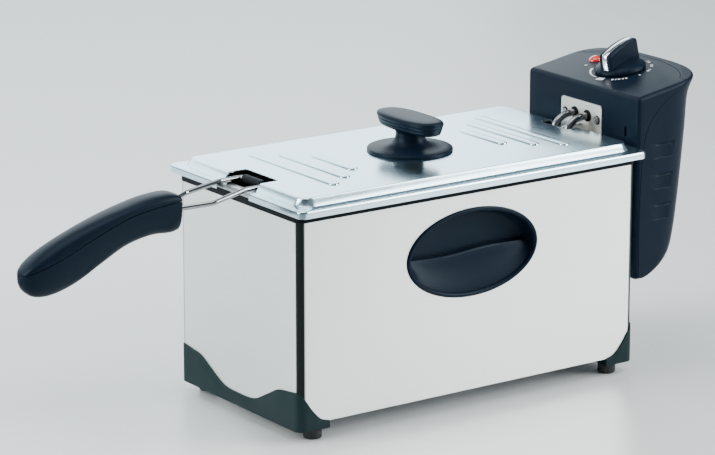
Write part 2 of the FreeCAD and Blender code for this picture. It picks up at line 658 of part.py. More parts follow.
def cord_gland():
    """Gland in the back of the head for the mains lead, with a through bore."""
    rear = rear_x_at(GLAND_Z) - 1.5
    sleeve = rod(6.5, (rear - 12, GLAND_Y, GLAND_Z), (rear + 4, GLAND_Y, GLAND_Z))
    collar = rod(9.0, (rear + 1.6, GLAND_Y, GLAND_Z), (rear + 4.6, GLAND_Y, GLAND_Z))
    bore = rod(GLAND_BORE, (rear - 13, GLAND_Y, GLAND_Z), (rear + 6, GLAND_Y, GLAND_Z))
    return fuse([sleeve, collar]).cut(bore)


def indicator_lens():
    dome = Part.makeSphere(9.5, Vector(0, 0, -6.0)).common(rod(6.5, (0, 0, 0), (0, 0, 8)))
    stem = rod(4.9, (0, 0, -6), (0, 0, 0)).cut(rod(3.6, (0, 0, -7), (0, 0, -1.2)))
    shape = fuse([dome, stem])
    shape.Placement = on_panel(LAMP_X, LAMP_Y)
    return shape


def indicator_lamp():
    shape = fuse([rod(3.0, (0, 0, -20), (0, 0, -3)), rod(4.5, (0, 0, -20), (0, 0, -8))])
    shape.Placement = on_panel(LAMP_X, LAMP_Y)
    return shape


# ---- thermostat knob ------------------------------------------------------------------------------
KNOB_RADIUS = 23.5
KNOB_LIFT = 0.6
KNOB_BASE = 5.5
BAR_HALF_WIDTH = 6.5
BAR_TOP_FRONT = 19.5
BAR_TOP_REAR = 24.5
INSERT_HALF_WIDTH = 2.8
INSERT_DEPTH = 1.6


def bar_outline(shrink):
    """Side outline of the knob's grip bar, pointer end at low x."""
    return [(-20.5 + shrink, 0, KNOB_LIFT + 3.0), (-20.5 + shrink, 0, BAR_TOP_FRONT - shrink),
            (-6, 0, BAR_TOP_FRONT + 3.4 - shrink), (8, 0, BAR_TOP_REAR - shrink),
            (20.5, 0, BAR_TOP_REAR - 0.3 - shrink), (22.5, 0, KNOB_LIFT + 3.0)]


def knob_bar(half_width, shrink):
    return outline_block([(x, -half_width, z) for x, _, z in bar_outline(shrink)], (0, 2 * half_width, 0))


def knob_placement():
    turn = FreeCAD.Placement(Vector(0, 0, 0), FreeCAD.Rotation(Vector(0, 0, 1), KNOB_TURN))
    return on_panel(KNOB_X, 0).multiply(turn)


def knob_insert_solid():
    return knob_bar(INSERT_HALF_WIDTH, 0).cut(knob_bar(INSERT_HALF_WIDTH + 1, INSERT_DEPTH)).common(
        box(-30, 19.5, -5, 5, 4, 40))


def thermostat_knob():
    skirt = turned([(0, KNOB_LIFT), (KNOB_RADIUS, KNOB_LIFT), (KNOB_RADIUS, KNOB_LIFT + 2.4),
                    (KNOB_RADIUS - 2, KNOB_BASE - 0.6), (KNOB_RADIUS - 8, KNOB_BASE + 1.5),
                    (0, KNOB_BASE + 2.5)],
                   (0, 0))
    shape = fuse([skirt, knob_bar(BAR_HALF_WIDTH, 0)])
    shaft = rod(SHAFT_RADIUS, (0, 0, -1), (0, 0, 12)).cut(box(2.2, 4, -4, 4, 1.5, 13))
    shaft.rotate(Vector(0, 0, 0), Vector(0, 0, 1), -KNOB_TURN)
    shape = cut(shape, [knob_insert_solid(), shaft])
    shape.Placement = knob_placement()
    return shape


def knob_insert():
    shape = knob_insert_solid()
    shape.Placement = knob_placement()
    return shape


# ---- wire basket ----------------------------------------------------------------------------------
MESH_SHEET = 1.2
MESH_PITCH = 19.0
MESH_RIB = 2.4
RIM_WIRE = 2.2
FRAME_WIRE = 1.5
BASKET_LENGTH = BASKET_RIGHT - BASKET_LEFT
BASKET_MIDDLE = (BASKET_LEFT + BASKET_RIGHT) / 2


def mesh_panel(length, height):
    """Flat panel in the XY plane, pierced by square openings in rows."""
    outline = Part.makePolygon([Vector(0, 0, 0), Vector(length, 0, 0), Vector(length, height, 0),
                                Vector(0, height, 0), Vector(0, 0, 0)])
    across, up = int(length // MESH_PITCH), int(height // MESH_PITCH)
    step_x, step_y = length / across, height / up
    edge = MESH_RIB / 2
    wires = [outline]
    for column in range(across):
        for row in range(up):
            x0, x1 = column * step_x + edge, (column + 1) * step_x - edge
            y0, y1 = row * step_y + edge, (row + 1) * step_y - edge
            wires.append(Part.makePolygon([Vector(x0, y0, 0), Vector(x0, y1, 0), Vector(x1, y1, 0),
                                           Vector(x1, y0, 0), Vector(x0, y0, 0)]))
    return Part.Face(wires, "Part::FaceMakerBullseye").extrude(Vector(0, 0, MESH_SHEET))


def placed(shape, origin, x_axis, y_axis):
    """Stand a flat panel up so that its length and height follow the two axes."""
    x_axis, y_axis = Vector(*x_axis), Vector(*y_axis)
    z_axis = x_axis.cross(y_axis)
    matrix = FreeCAD.Matrix(x_axis.x, y_axis.x, z_axis.x, origin[0], x_axis.y, y_axis.y, z_axis.y, origin[1],
                            x_axis.z, y_axis.z, z_axis.z, origin[2], 0, 0, 0, 1)
    shape.Placement = FreeCAD.Placement(matrix)
    return shape


def basket_mesh():
    """Woven mesh as five pierced panels: floor, two long sides and two ends."""
    top = BASKET_RIM_Z - RIM_WIRE
    height = top - BASKET_BOTTOM - MESH_SHEET
    width = 2 * (BASKET_HALF_WIDTH - MESH_SHEET)
    low = BASKET_BOTTOM + MESH_SHEET
    floor = mesh_panel(BASKET_LENGTH, 2 * BASKET_HALF_WIDTH)
    floor.translate(Vector(BASKET_LEFT, -BASKET_HALF_WIDTH, BASKET_BOTTOM))
    side = placed(mesh_panel(BASKET_LENGTH, height), (BASKET_LEFT, -BASKET_HALF_WIDTH + MESH_SHEET, low),
                  (1, 0, 0), (0, 0, 1))
    left = placed(mesh_panel(width, height), (BASKET_LEFT, -width / 2, low), (0, 1, 0), (0, 0, 1))
    right = placed(mesh_panel(width, height), (BASKET_RIGHT - MESH_SHEET, -width / 2, low),
                   (0, 1, 0), (0, 0, 1))
    return Part.Compound([floor, side, mirrored(side), left, right])


def basket_loop(z, outset, radius):
    half_x = BASKET_LENGTH / 2 + outset
    corners = [(BASKET_MIDDLE + sx * half_x, sy * (BASKET_HALF_WIDTH + outset), z)
               for sx, sy in ((-1, -1), (1, -1), (1, 1), (-1, 1))]
    return bent_rod(corners, 6.0, radius, closed=True)


def basket_rim():
    return basket_loop(BASKET_RIM_Z, -MESH_SHEET / 2, RIM_WIRE)


def basket_frame():
    """Two stirrups that pass under the basket and up its long sides, to the rim."""
    outset = BASKET_HALF_WIDTH + FRAME_WIRE
    low = BASKET_BOTTOM - FRAME_WIRE
    top = BASKET_RIM_Z - RIM_WIRE - 0.5
    return Part.Compound([bent_rod([(x, -outset, top), (x, -outset, low), (x, outset, low), (x, outset, top)],
                                   1.6, FRAME_WIRE) for x in (BASKET_LEFT + 70, BASKET_RIGHT - 70)])


BRACKET_X = BASKET_LEFT - 1.6
BRACKET_SHEET = 1.5
BARREL_HALF = 13.5
BARREL_RADIUS = 4.0
PIVOT_FIT = 0.08


def handle_bracket():
    """Bracket on the end of the basket, rolled at its top into the barrel of the handle's hinge."""
    plate = box(BRACKET_X - BRACKET_SHEET, BRACKET_X, -15, 15, 140, HANDLE_PIVOT_Z)
    plate = plate.common(box(-170, -150, -BARREL_HALF, BARREL_HALF, 130, 220))
    barrel = rod(BARREL_RADIUS, (HANDLE_PIVOT_X, -BARREL_HALF, HANDLE_PIVOT_Z),
                 (HANDLE_PIVOT_X, BARREL_HALF, HANDLE_PIVOT_Z))
    bore = rod(HANDLE_WIRE + PIVOT_FIT, (HANDLE_PIVOT_X, -20, HANDLE_PIVOT_Z),
               (HANDLE_PIVOT_X, 20, HANDLE_PIVOT_Z))
    return fuse([plate, barrel]).cut(bore)


def bracket_rivets():
    rivets = []
    for y in (-8.0, 8.0):
        outside = BRACKET_X - BRACKET_SHEET
        rivets.append(rod(3.0, (outside - 1.2, y, 150), (outside, y, 150)))
        rivets.append(rod(3.0, (BRACKET_X, y, 150), (BASKET_LEFT, y, 150)))
    return Part.Compound(rivets)


def drain_hook():
    """Wire hook that hangs the lifted basket on the pan's rim to drain."""
    x_back, x_out = BRACKET_X, HANDLE_PIVOT_X - 3
    half = 18.0
    return bent_rod([(x_back, -half, 186), (x_back, -half, 132), (x_out, -half, 120), (x_out, half, 120),
                     (x_back, half, 132), (x_back, half, 186)], [4, 3, 3, 4], FRAME_WIRE)


# ---- basket handle --------------------------------------------------------------------------------
GRIP_HALF_WIDTH = 14.5
GRIP_STATIONS = [  # x, underside, crown, half width
    (-244.0, 178.5, 209.5, 13.0), (-252.0, 177.0, 212.0, 14.0), (-272.0, 177.6, 211.0, 14.5),
    (-297.0, 172.2, 205.9, 14.5), (-320.0, 161.0, 200.0, 14.5), (-345.0, 148.2, 192.0, 14.5),
    (-368.0, 141.6, 182.6, 14.0), (-384.0, 142.4, 173.4, 12.0), (-392.5, 148.5, 166.0, 8.0),
    (-396.0, 154.5, 160.5, 2.5)]
GRIP_SEAM = [(-232.0, 205.0), (-263.0, 204.0), (-296.0, 198.9), (-328.0, 187.6), (-360.0, 174.3),
             (-392.0, 163.0), (-404.0, 160.0)]
GRIP_SCREW_XS = (-290.0, -355.0)
GRIP_SCREW_DEPTH = 8.0
GRIP_SCREW_RADIUS = 1.5
GRIP_SCREW_LENGTH = 20.0


def grip_section(x, low, high, half_width):
    """Rounded section of the grip across its length."""
    middle, half_height = (low + high) / 2, (high - low) / 2
    points = []
    for step in range(16):
        turn = 2 * math.pi * (step + 0.5) / 16
        across, up = math.cos(turn), math.sin(turn)
        points.append(Vector(x, math.copysign(abs(across) ** 0.7, across) * half_width,
                             middle + math.copysign(abs(up) ** 0.8, up) * half_height))
    curve = Part.BSplineCurve()
    curve.interpolate(points, True)
    return Part.Wire(curve.toShape())


def grip_solid():
    return Part.makeLoft([grip_section(*station) for station in GRIP_STATIONS], True, False)


def above_grip_seam():
    curve = [(x, -30, z) for x, z in GRIP_SEAM]
    return under_curve(curve, [(GRIP_SEAM[-1][0], -30, 260), (GRIP_SEAM[0][0], -30, 260)], (0, 60, 0))


def handle_wires():
    """One wire bent to a U: hinge pins, two arms that close in, and the tang inside the grip."""
    pivot_x, pivot_z = HANDLE_PIVOT_X, HANDLE_PIVOT_Z
    half = [(pivot_x, 7, pivot_z), (pivot_x, 19, pivot_z), (-187, 19, pivot_z), (-219.5, 21.5, 201.5),
            (-248, 8.5, 198.0), (-310, 8.5, 187.0)]
    other = [(x, -y, z) for x, y, z in reversed(half)]
    return bent_rod(half + other, [4, 12, 10, 10, 6, 6, 10, 10, 12, 4], HANDLE_WIRE)


def grip_seat_z(x):
    """Height of the seat for the head of the grip's screw at x, inside the lower half."""
    return [low for station_x, low, _, _ in GRIP_STATIONS if station_x <= x][0] + GRIP_SCREW_DEPTH


def grip_screws():
    seats = [(x, 0, grip_seat_z(x)) for x in GRIP_SCREW_XS]
    return Part.Compound([screw(3.0, 2.0, GRIP_SCREW_RADIUS, GRIP_SCREW_LENGTH, seat, (0, 0, 1))
                          for seat in seats])


def screw_well(x):
    seat = grip_seat_z(x)
    return fuse([rod(3.3, (x, 0, seat - 30), (x, 0, seat)),
                 rod(GRIP_SCREW_RADIUS, (x, 0, seat), (x, 0, seat + GRIP_SCREW_LENGTH))])


# ---- lid ------------------------------------------------------------------------------------------
LID_CORNER = 7.0
LID_PANEL_BASE = (178.5, 94.0, 12.0)
LID_PANEL_EDGE = (174.5, 90.0, 10.0)
HANDLE_NOTCH_X = -156.0
HANDLE_NOTCH_Y = 25.0
TUBE_NOTCH_X = 161.5
TUBE_NOTCH_Y = 20.0
RIBS = [(sx * x, half) for sx in (-1, 1) for x, half in ((81.0, 32.0), (102.5, 51.0), (124.0, 66.0))]
RIB_HALF_WIDTH = 4.8
RIB_RISE = 0.8
LID_SCREW_RADIUS = 2.5
LID_SCREW_BITE = 7.0
LID_WASHER = 1.2


def lid_rib(x, half_length):
    outline = (RIB_HALF_WIDTH, half_length, RIB_HALF_WIDTH - 0.1)
    upper = (RIB_HALF_WIDTH - 0.8, half_length - 0.8, RIB_HALF_WIDTH - 0.9)
    low = rectangle_wire(*outline, LID_PANEL_TOP - 0.2, x)
    high = rectangle_wire(*upper, LID_PANEL_TOP + RIB_RISE, x)
    return Part.makeLoft([low, high], True, True)


def lid_shell():
    """Pressed lid: flange with a turned-down edge, raised panel with ribs, and two notches."""
    half_x, half_y = HALF_X + LID_OVERHANG_X, HALF_Y + LID_OVERHANG_Y
    base, edge = LID_PANEL_BASE, LID_PANEL_EDGE
    flange = slab(half_x, half_y, LID_CORNER, LID_EDGE_BOTTOM, LID_FLANGE_TOP)
    panel = frustum(base, edge, LID_FLANGE_TOP, LID_PANEL_TOP)
    under_flange = slab(half_x - SHEET, half_y - SHEET, LID_CORNER - SHEET, LID_EDGE_BOTTOM - 1,
                        LID_FLANGE_TOP - SHEET)
    inner_base = tuple(size - SHEET for size in base)
    inner_edge = tuple(size - SHEET for size in edge)
    under_panel = frustum(inner_base, inner_edge, LID_FLANGE_TOP - SHEET, LID_PANEL_TOP - SHEET)
    ribs = [lid_rib(x, half) for x, half in RIBS]
    notches = [box(-half_x - 1, HANDLE_NOTCH_X, -HANDLE_NOTCH_Y, HANDLE_NOTCH_Y, 190, 230),
               box(TUBE_NOTCH_X, half_x + 1, -TUBE_NOTCH_Y, TUBE_NOTCH_Y, 190, 230)]
    shell = fuse([flange, panel, *ribs])
    return cut(shell, [under_flange, under_panel, *notches,
                       rod(LID_SCREW_RADIUS, (0, 0, 200), (0, 0, 230))])


KNOB_DISC_RADIUS = 38.0
STEM_RADIUS = 12.5
GRIP_LOW = 233.0
GRIP_HIGH = 243.5


def lid_knob_base():
    """Disc and flared stem of the lid's knob."""
    low = LID_PANEL_TOP
    profile = [(0, low), (KNOB_DISC_RADIUS, low), (KNOB_DISC_RADIUS, low + 2.2),
               (KNOB_DISC_RADIUS - 1.6, low + 3.6), (24, low + 5.2), (17, low + 7.8),
               (13.6, low + 12), (STEM_RADIUS, low + 16), (13.5, GRIP_LOW),
               (0, GRIP_LOW)]
    return turned(profile, (0, 0)).cut(rod(LID_SCREW_RADIUS, (0, 0, low - 1), (0, 0, GRIP_LOW + 1)))


def lid_knob_grip():
    """Grip bar across the lid, with ridged sides and rounded ends."""
    heights = (GRIP_LOW, 236.4, 239.8, GRIP_HIGH)
    sizes = ((14.5, 36.0), (15.7, 37.5), (17.0, 39.0))
    layers = [slab(half_x, half_y, half_x - 2.0, low, high)
              for (half_x, half_y), low, high in zip(sizes, heights, heights[1:])]
    hole = rod(LID_SCREW_RADIUS, (0, 0, GRIP_LOW - 1), (0, 0, GRIP_LOW + LID_SCREW_BITE))
    return fuse(layers).cut(hole)


def lid_knob_screw():
    seat = LID_PANEL_TOP - SHEET - LID_WASHER
    return screw(4.5, 2.4, LID_SCREW_RADIUS, GRIP_LOW + LID_SCREW_BITE - seat, (0, 0, seat), (0, 0, 1))


def lid_knob_washer():
    top = LID_PANEL_TOP - SHEET
    hole = rod(LID_SCREW_RADIUS, (0, 0, top - 2), (0, 0, top + 1))
    return rod(8.0, (0, 0, top - LID_WASHER), (0, 0, top)).cut(hole)


# ---- the whole object -----------------------------------------------------------------------------
def build():
    add("casing", casing())
    add("base_plate", base_plate())
    right = end_skirt()
    add("end_skirt_right", right)
    add("end_skirt_left", right.mirror(Vector(0, 0, 0), Vector(1, 0, 0)))
    for name, (x, y) in zip(FOOT_NAMES, FOOT_CENTRES):
        add(name, foot(x, y))
    add("foot_screws", foot_screws())
    add("top_rim", top_rim())
    front = side_grip_front()
    add("side_grip_front", front)
    add("side_grip_back", mirrored(front))
    add("grip_retainers", grip_retainers())
    add("head_guide", head_guide())
    add("guide_screws", guide_screws())
    add("interlock_pin", interlock_pin())
    add("oil_pan", oil_pan())
    add("head_front_cover", head_front_cover())
    add("head_rear_cover", head_rear_cover())
    add("head_runners", head_runners())
    add("cover_screws", cover_screws())
    add("element_plate", element_plate())
    add("plate_screws", plate_screws())
    add("heating_element", heating_element())
    add("element_straps", element_straps())
    add("sensor_capillary", sensor_capillary())
    add("sensor_bulb", sensor_bulb())
    add("sensor_clip", sensor_clip())
    add("thermostat", thermostat())
    add("thermostat_frame", thermostat_frame())
    add("terminal_block", terminal_block())
    add("terminal_screws", terminal_screws())
    add("microswitch", microswitch())
    add("thermal_cutout", thermal_cutout())
    add("cutout_bracket", cutout_bracket())
    add("cord_gland", cord_gland())
    add("indicator_lens", indicator_lens())
    add("indicator_lamp", indicator_lamp())
    add("reset_button", reset_button())
    add("thermostat_shaft", thermostat_shaft())
    add("thermostat_knob", thermostat_knob())
    add("knob_insert", knob_insert())
    add("basket_mesh", basket_mesh())
    add("basket_rim", basket_rim())
    add("basket_frame", basket_frame())
    add("handle_bracket", handle_bracket())
    add("bracket_rivets", bracket_rivets())
    add("drain_hook", drain_hook())
    wires = handle_wires()
    grip, upper = grip_solid(), above_grip_seam()
    wells = [screw_well(x) for x in GRIP_SCREW_XS]
    add("handle_wires", wires)
    add("grip_top", cut(grip.common(upper), [wires, *wells]))
    add("grip_bottom", cut(grip.cut(upper), [wires, *wells]))
    add("grip_screws", grip_screws())
    add("lid_shell", lid_shell())
    add("lid_knob_base", lid_knob_base())
    add("lid_knob_grip", lid_knob_grip())
    add("lid_knob_screw", lid_knob_screw())
    add("lid_knob_washer", lid_knob_washer())


build()
os.makedirs("parts", exist_ok=True)
for name, shape in NODES.items():
    shape.translate(Vector(-ORIGIN_X, 0, 0))
    shape.exportStep("parts/%s.step" % name)
    print("%-20s solids %d  volume %9.0f  valid %s" % (name, len(shape.Solids), shape.Volume, shape.isValid()))
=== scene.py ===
"""Looks of the deep fryer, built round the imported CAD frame. Lengths in the tables are millimetres, measured
from the middle of the casing; place() turns them into the frame's metres."""
import math

import bmesh
import bpy
from mathutils import Matrix, Vector


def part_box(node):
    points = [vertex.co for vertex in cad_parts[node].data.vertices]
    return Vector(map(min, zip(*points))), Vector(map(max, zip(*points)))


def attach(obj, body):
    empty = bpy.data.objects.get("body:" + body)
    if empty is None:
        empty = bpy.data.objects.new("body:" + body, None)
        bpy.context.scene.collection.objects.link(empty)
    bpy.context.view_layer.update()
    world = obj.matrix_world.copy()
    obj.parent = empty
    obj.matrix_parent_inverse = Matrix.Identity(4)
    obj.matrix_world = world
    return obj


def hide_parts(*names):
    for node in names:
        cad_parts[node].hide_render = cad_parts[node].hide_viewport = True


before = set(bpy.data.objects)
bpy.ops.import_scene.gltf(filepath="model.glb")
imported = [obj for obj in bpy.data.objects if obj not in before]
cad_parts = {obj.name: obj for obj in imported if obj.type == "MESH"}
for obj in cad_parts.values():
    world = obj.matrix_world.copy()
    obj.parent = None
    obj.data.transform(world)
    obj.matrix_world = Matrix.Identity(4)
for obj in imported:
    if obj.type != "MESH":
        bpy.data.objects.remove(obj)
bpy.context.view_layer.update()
CASING_LOW, CASING_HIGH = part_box("casing")
CENTRE_X = (CASING_LOW.x + CASING_HIGH.x) / 2
MM = 0.001

# ---- sizes read from the frame, in millimetres ---------------------------------------------------
HALF_X = (CASING_HIGH.x - CASING_LOW.x) / 2 / MM
HALF_Y = CASING_HIGH.y / MM
CASING_BOTTOM, CASING_TOP = CASING_LOW.z / MM, CASING_HIGH.z / MM
LID_LOW, LID_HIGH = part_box("lid_shell")
LID_HALF_X, LID_HALF_Y = (LID_HIGH.x - LID_LOW.x) / 2 / MM, LID_HIGH.y / MM
LID_EDGE_Z = LID_LOW.z / MM
LID_FLANGE_Z, LID_PANEL_Z = LID_EDGE_Z + 6.7, LID_EDGE_Z + 13.5
HEAD_LOW, HEAD_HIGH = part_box("head_front_cover")
HEAD_FRONT = (HEAD_LOW.x - CENTRE_X) / MM
HEAD_SIDE = HEAD_HIGH.y / MM
HEAD_BOTTOM = HEAD_LOW.z / MM
HEAD_SLOPE = math.radians(9.5)
HEAD_TOP_FRONT = 247.7


def place(point):
    """Frame position, in metres, of a point in millimetres from the middle of the casing."""
    return Vector((CENTRE_X + point[0] * MM, point[1] * MM, point[2] * MM))


def panel_z(x):
    """Height of the head's sloping top at x."""
    return HEAD_TOP_FRONT + math.tan(HEAD_SLOPE) * (x - HEAD_FRONT)


def smooth_step(value, low, high):
    share = min(1.0, max(0.0, (value - low) / (high - low)))
    return share * share * (3 - 2 * share)


def through(points, value):
    """Smooth curve through (input, output) points, with cubic segments."""
    for index in range(len(points) - 1):
        if value <= points[index + 1][0] or index == len(points) - 2:
            break
    (x0, y0), (x1, y1) = points[index], points[index + 1]
    before = points[index - 1] if index else (x0 - (x1 - x0), y0 - (y1 - y0))
    after = points[index + 2] if index + 2 < len(points) else (x1 + (x1 - x0), y1 + (y1 - y0))
    slope0 = (y1 - before[1]) / (x1 - before[0]) * (x1 - x0)
    slope1 = (after[1] - y0) / (after[0] - x0) * (x1 - x0)
    t = min(1.0, max(0.0, (value - x0) / (x1 - x0)))
    return ((2 * t ** 3 - 3 * t ** 2 + 1) * y0 + (t ** 3 - 2 * t ** 2 + t) * slope0
            + (-2 * t ** 3 + 3 * t ** 2) * y1 + (t ** 3 - t ** 2) * slope1)


# ---- mesh building -------------------------------------------------------------------------------
class Shape:
    """Vertices and faces of one piece, in millimetres."""

    def __init__(self):
        self.points = []
        self.faces = []

    def rings(self, rings, caps=True, looped=False):
        """Skin a row of closed rings with quads. looped joins the last ring to the first."""
        start, size = len(self.points), len(rings[0])
        for ring in rings:
            self.points.extend(ring)
        rows = len(rings) if looped else len(rings) - 1
        for row in range(rows):
            low = start + row * size
            high = start + ((row + 1) % len(rings)) * size
            for i in range(size):
                j = (i + 1) % size
                self.faces.append((low + i, low + j, high + j, high + i))
        if caps and not looped:
            self.faces.append(tuple(start + i for i in reversed(range(size))))
            last = start + (len(rings) - 1) * size
            self.faces.append(tuple(last + i for i in range(size)))
        return self

    def grid(self, rows):
        """Skin an open grid of points."""
        start, size = len(self.points), len(rows[0])
        for row in rows:
            self.points.extend(row)
        for r in range(len(rows) - 1):
            for i in range(size - 1):
                corner = start + r * size + i
                self.faces.append((corner, corner + 1, corner + size + 1, corner + size))
        return self

    def tube(self, path, radius, sides=14, looped=False):
        """Round bar along a list of points."""
        path = [Vector(point) for point in path]
        count = len(path)
        rings = []
        side = None
        for index in range(count):
            ahead = path[(index + 1) % count] if looped or index < count - 1 else path[index]
            behind = path[index - 1] if looped or index else path[index]
            along = (ahead - behind).normalized()
            if side is None:
                side = along.orthogonal().normalized()
            side = (side - along * side.dot(along)).normalized()
            up = along.cross(side)
            rings.append([path[index] + (side * math.cos(turn) + up * math.sin(turn)) * radius
                          for turn in (2 * math.pi * k / sides for k in range(sides))])
        return self.rings(rings, looped=looped)

    def lathe(self, profile, centre=(0, 0), sides=64):
        """Turn (radius, z) points about the vertical through centre."""
        return self.rings([[Vector((centre[0] + r * math.cos(a), centre[1] + r * math.sin(a), z))
                            for a in (2 * math.pi * k / sides for k in range(sides))] for r, z in profile])

    def block(self, low, high):
        (x0, y0, z0), (x1, y1, z1) = low, high
        return self.rings([[Vector((x, y, z)) for x, y in ((x0, y0), (x1, y0), (x1, y1), (x0, y1))]
                           for z in (z0, z1)])

    def moved(self, matrix):
        self.points = [matrix @ Vector(point) for point in self.points]
        return self

    def add(self, other):
        """Take in another form."""
        start = len(self.points)
        self.faces += [tuple(start + i for i in face) for face in other.faces]
        self.points += other.points
        return self


def make_object(name, shape):
    mesh = bpy.data.meshes.new(name)
    mesh.from_pydata([place(point) for point in shape.points], [], shape.faces)
    built = bmesh.new()
    built.from_mesh(mesh)
    bmesh.ops.remove_doubles(built, verts=built.verts, dist=1e-6)
    bmesh.ops.recalc_face_normals(built, faces=built.faces)
    built.to_mesh(mesh)
    built.free()
    thing = bpy.data.objects.new(name, mesh)
    bpy.context.scene.collection.objects.link(thing)
    return thing


def settle(thing):
    """Apply an object's modifiers."""
    bpy.context.view_layer.update()
    evaluated = thing.evaluated_get(bpy.context.evaluated_depsgraph_get())
    mesh = bpy.data.meshes.new_from_object(evaluated)
    thing.modifiers.clear()
    thing.data = mesh


def combine(thing, other, operation):
    """Boolean with another object, which is then removed."""
    change = thing.modifiers.new("combine", "BOOLEAN")
    change.operation, change.solver, change.object = operation, "EXACT", other
    settle(thing)
    bpy.data.objects.remove(other)


def join(thing, other):
    """Take another object's mesh in, then remove it."""
    bpy.context.view_layer.update()
    joined = bmesh.new()
    joined.from_mesh(thing.data)
    joined.from_mesh(other.data)
    joined.to_mesh(thing.data)
    joined.free()
    bpy.data.objects.remove(other)


def carve(thing, shape, operation="DIFFERENCE"):
    """Boolean with a closed form."""
    combine(thing, make_object("tool", shape), operation)


def smooth(thing, angle=32.0):
    """Smooth shading, with edges sharper than angle kept crisp."""
    built = bmesh.new()
    built.from_mesh(thing.data)
    limit = math.radians(angle)
    for face in built.faces:
        face.smooth = True
    for edge in built.edges:
        edge.smooth = len(edge.link_faces) == 2 and edge.calc_face_angle(0.0) < limit
    built.to_mesh(thing.data)
    built.free()


def finish_piece(thing, look, body, *replaced, slot=None, angle=32.0):
    """Give an object its look and shading, and tie it to its body. slot is not used."""
    thing.data.materials.clear()
    thing.data.materials.append(LOOKS[look])
    smooth(thing, angle)
    slot = slot or look
    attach(thing, body)
    if replaced:
        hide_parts(*replaced)
    return thing


def piece(name, shape, look, body, *replaced, slot=None, angle=32.0):
    return finish_piece(make_object(name, shape), look, body, *replaced, slot=slot, angle=angle)


def rounded_ring(half_x, half_y, corner, z, centre_x=0.0, steps=9):
    """Rounded rectangle at height z, anticlockwise."""
    ring = []
    for quarter, (sx, sy) in enumerate(((1, 1), (-1, 1), (-1, -1), (1, -1))):
        for step in range(steps + 1):
            turn = math.pi / 2 * (quarter + step / steps)
            ring.append(Vector((centre_x + sx * (half_x - corner) + corner * math.cos(turn),
                                sy * (half_y - corner) + corner * math.sin(turn), z)))
    return ring


def ellipse_ring(half_x, half_z, y, centre_z, sides=96):
    """Upright ellipse in the plane at y."""
    return [Vector((half_x * math.cos(a), y, centre_z + half_z * math.sin(a)))
            for a in (2 * math.pi * k / sides for k in range(sides))]


def bend_path(points, radii, looped=False, steps=8):
    """Points along straight runs joined by tangent arcs."""
    points = [Vector(point) for point in points]
    count = len(points)
    corners = range(count) if looped else range(1, count - 1)
    if not isinstance(radii, (list, tuple)):
        radii = [radii] * len(corners)
    path = [] if looped else [points[0]]
    for index, radius in zip(corners, radii):
        here = points[index]
        back = (points[index - 1] - here).normalized()
        ahead = (points[(index + 1) % count] - here).normalized()
        half = back.angle(ahead) / 2
        start = here + back * (radius / math.tan(half))
        middle = here + (back + ahead).normalized() * (radius / math.sin(half))
        end = here + ahead * (radius / math.tan(half))
        first, last = start - middle, end - middle
        sweep = first.angle(last)
        for t in (step / steps for step in range(steps + 1)):
            swung = first * math.sin((1 - t) * sweep) + last * math.sin(t * sweep)
            path.append(middle + swung / math.sin(sweep))
    return path if looped else [*path, points[-1]]


# ---- materials -----------------------------------------------------------------------------------
RELIEF = 0.0002


def set_range(node, low, high, new_low, new_high):
    for socket, value in zip(("From Min", "From Max", "To Min", "To Max"), (low, high, new_low, new_high)):
        node.inputs[socket].default_value = value


def surface(name, colour, rough, metallic, spread, grain, shade, bump):
    """Shader whose roughness, colour and height follow one fine noise. grain is its waves per metre, spread
    the change in roughness, shade the share of change in colour, and bump the strength of the relief."""
    look = bpy.data.materials.new(name)
    look.use_nodes = True
    nodes, links = look.node_tree.nodes, look.node_tree.links
    shader = nodes["Principled BSDF"]
    shader.inputs["Metallic"].default_value = metallic
    where = nodes.new("ShaderNodeTexCoord")
    stretch = nodes.new("ShaderNodeMapping")
    stretch.inputs["Scale"].default_value = grain
    noise = nodes.new("ShaderNodeTexNoise")
    noise.inputs["Scale"].default_value = 1.0
    noise.inputs["Detail"].default_value = 3.0
    links.new(where.outputs["Object"], stretch.inputs["Vector"])
    links.new(stretch.outputs["Vector"], noise.inputs["Vector"])
    ramp = nodes.new("ShaderNodeMapRange")
    set_range(ramp, 0.3, 0.7, rough - spread, rough + spread)
    links.new(noise.outputs["Fac"], ramp.inputs["Value"])
    links.new(ramp.outputs["Result"], shader.inputs["Roughness"])
    mix = nodes.new("ShaderNodeMix")
    mix.data_type = "RGBA"
    mix.inputs["A"].default_value = (*(channel * (1 - shade) for channel in colour), 1)
    mix.inputs["B"].default_value = (*(min(1.0, channel * (1 + shade)) for channel in colour), 1)
    links.new(noise.outputs["Fac"], mix.inputs["Factor"])
    links.new(mix.outputs["Result"], shader.inputs["Base Color"])
    raised = nodes.new("ShaderNodeBump")
    raised.inputs["Strength"].default_value = bump
    raised.inputs["Distance"].default_value = RELIEF
    links.new(noise.outputs["Fac"], raised.inputs["Height"])
    links.new(raised.outputs["Normal"], shader.inputs["Normal"])
    return look


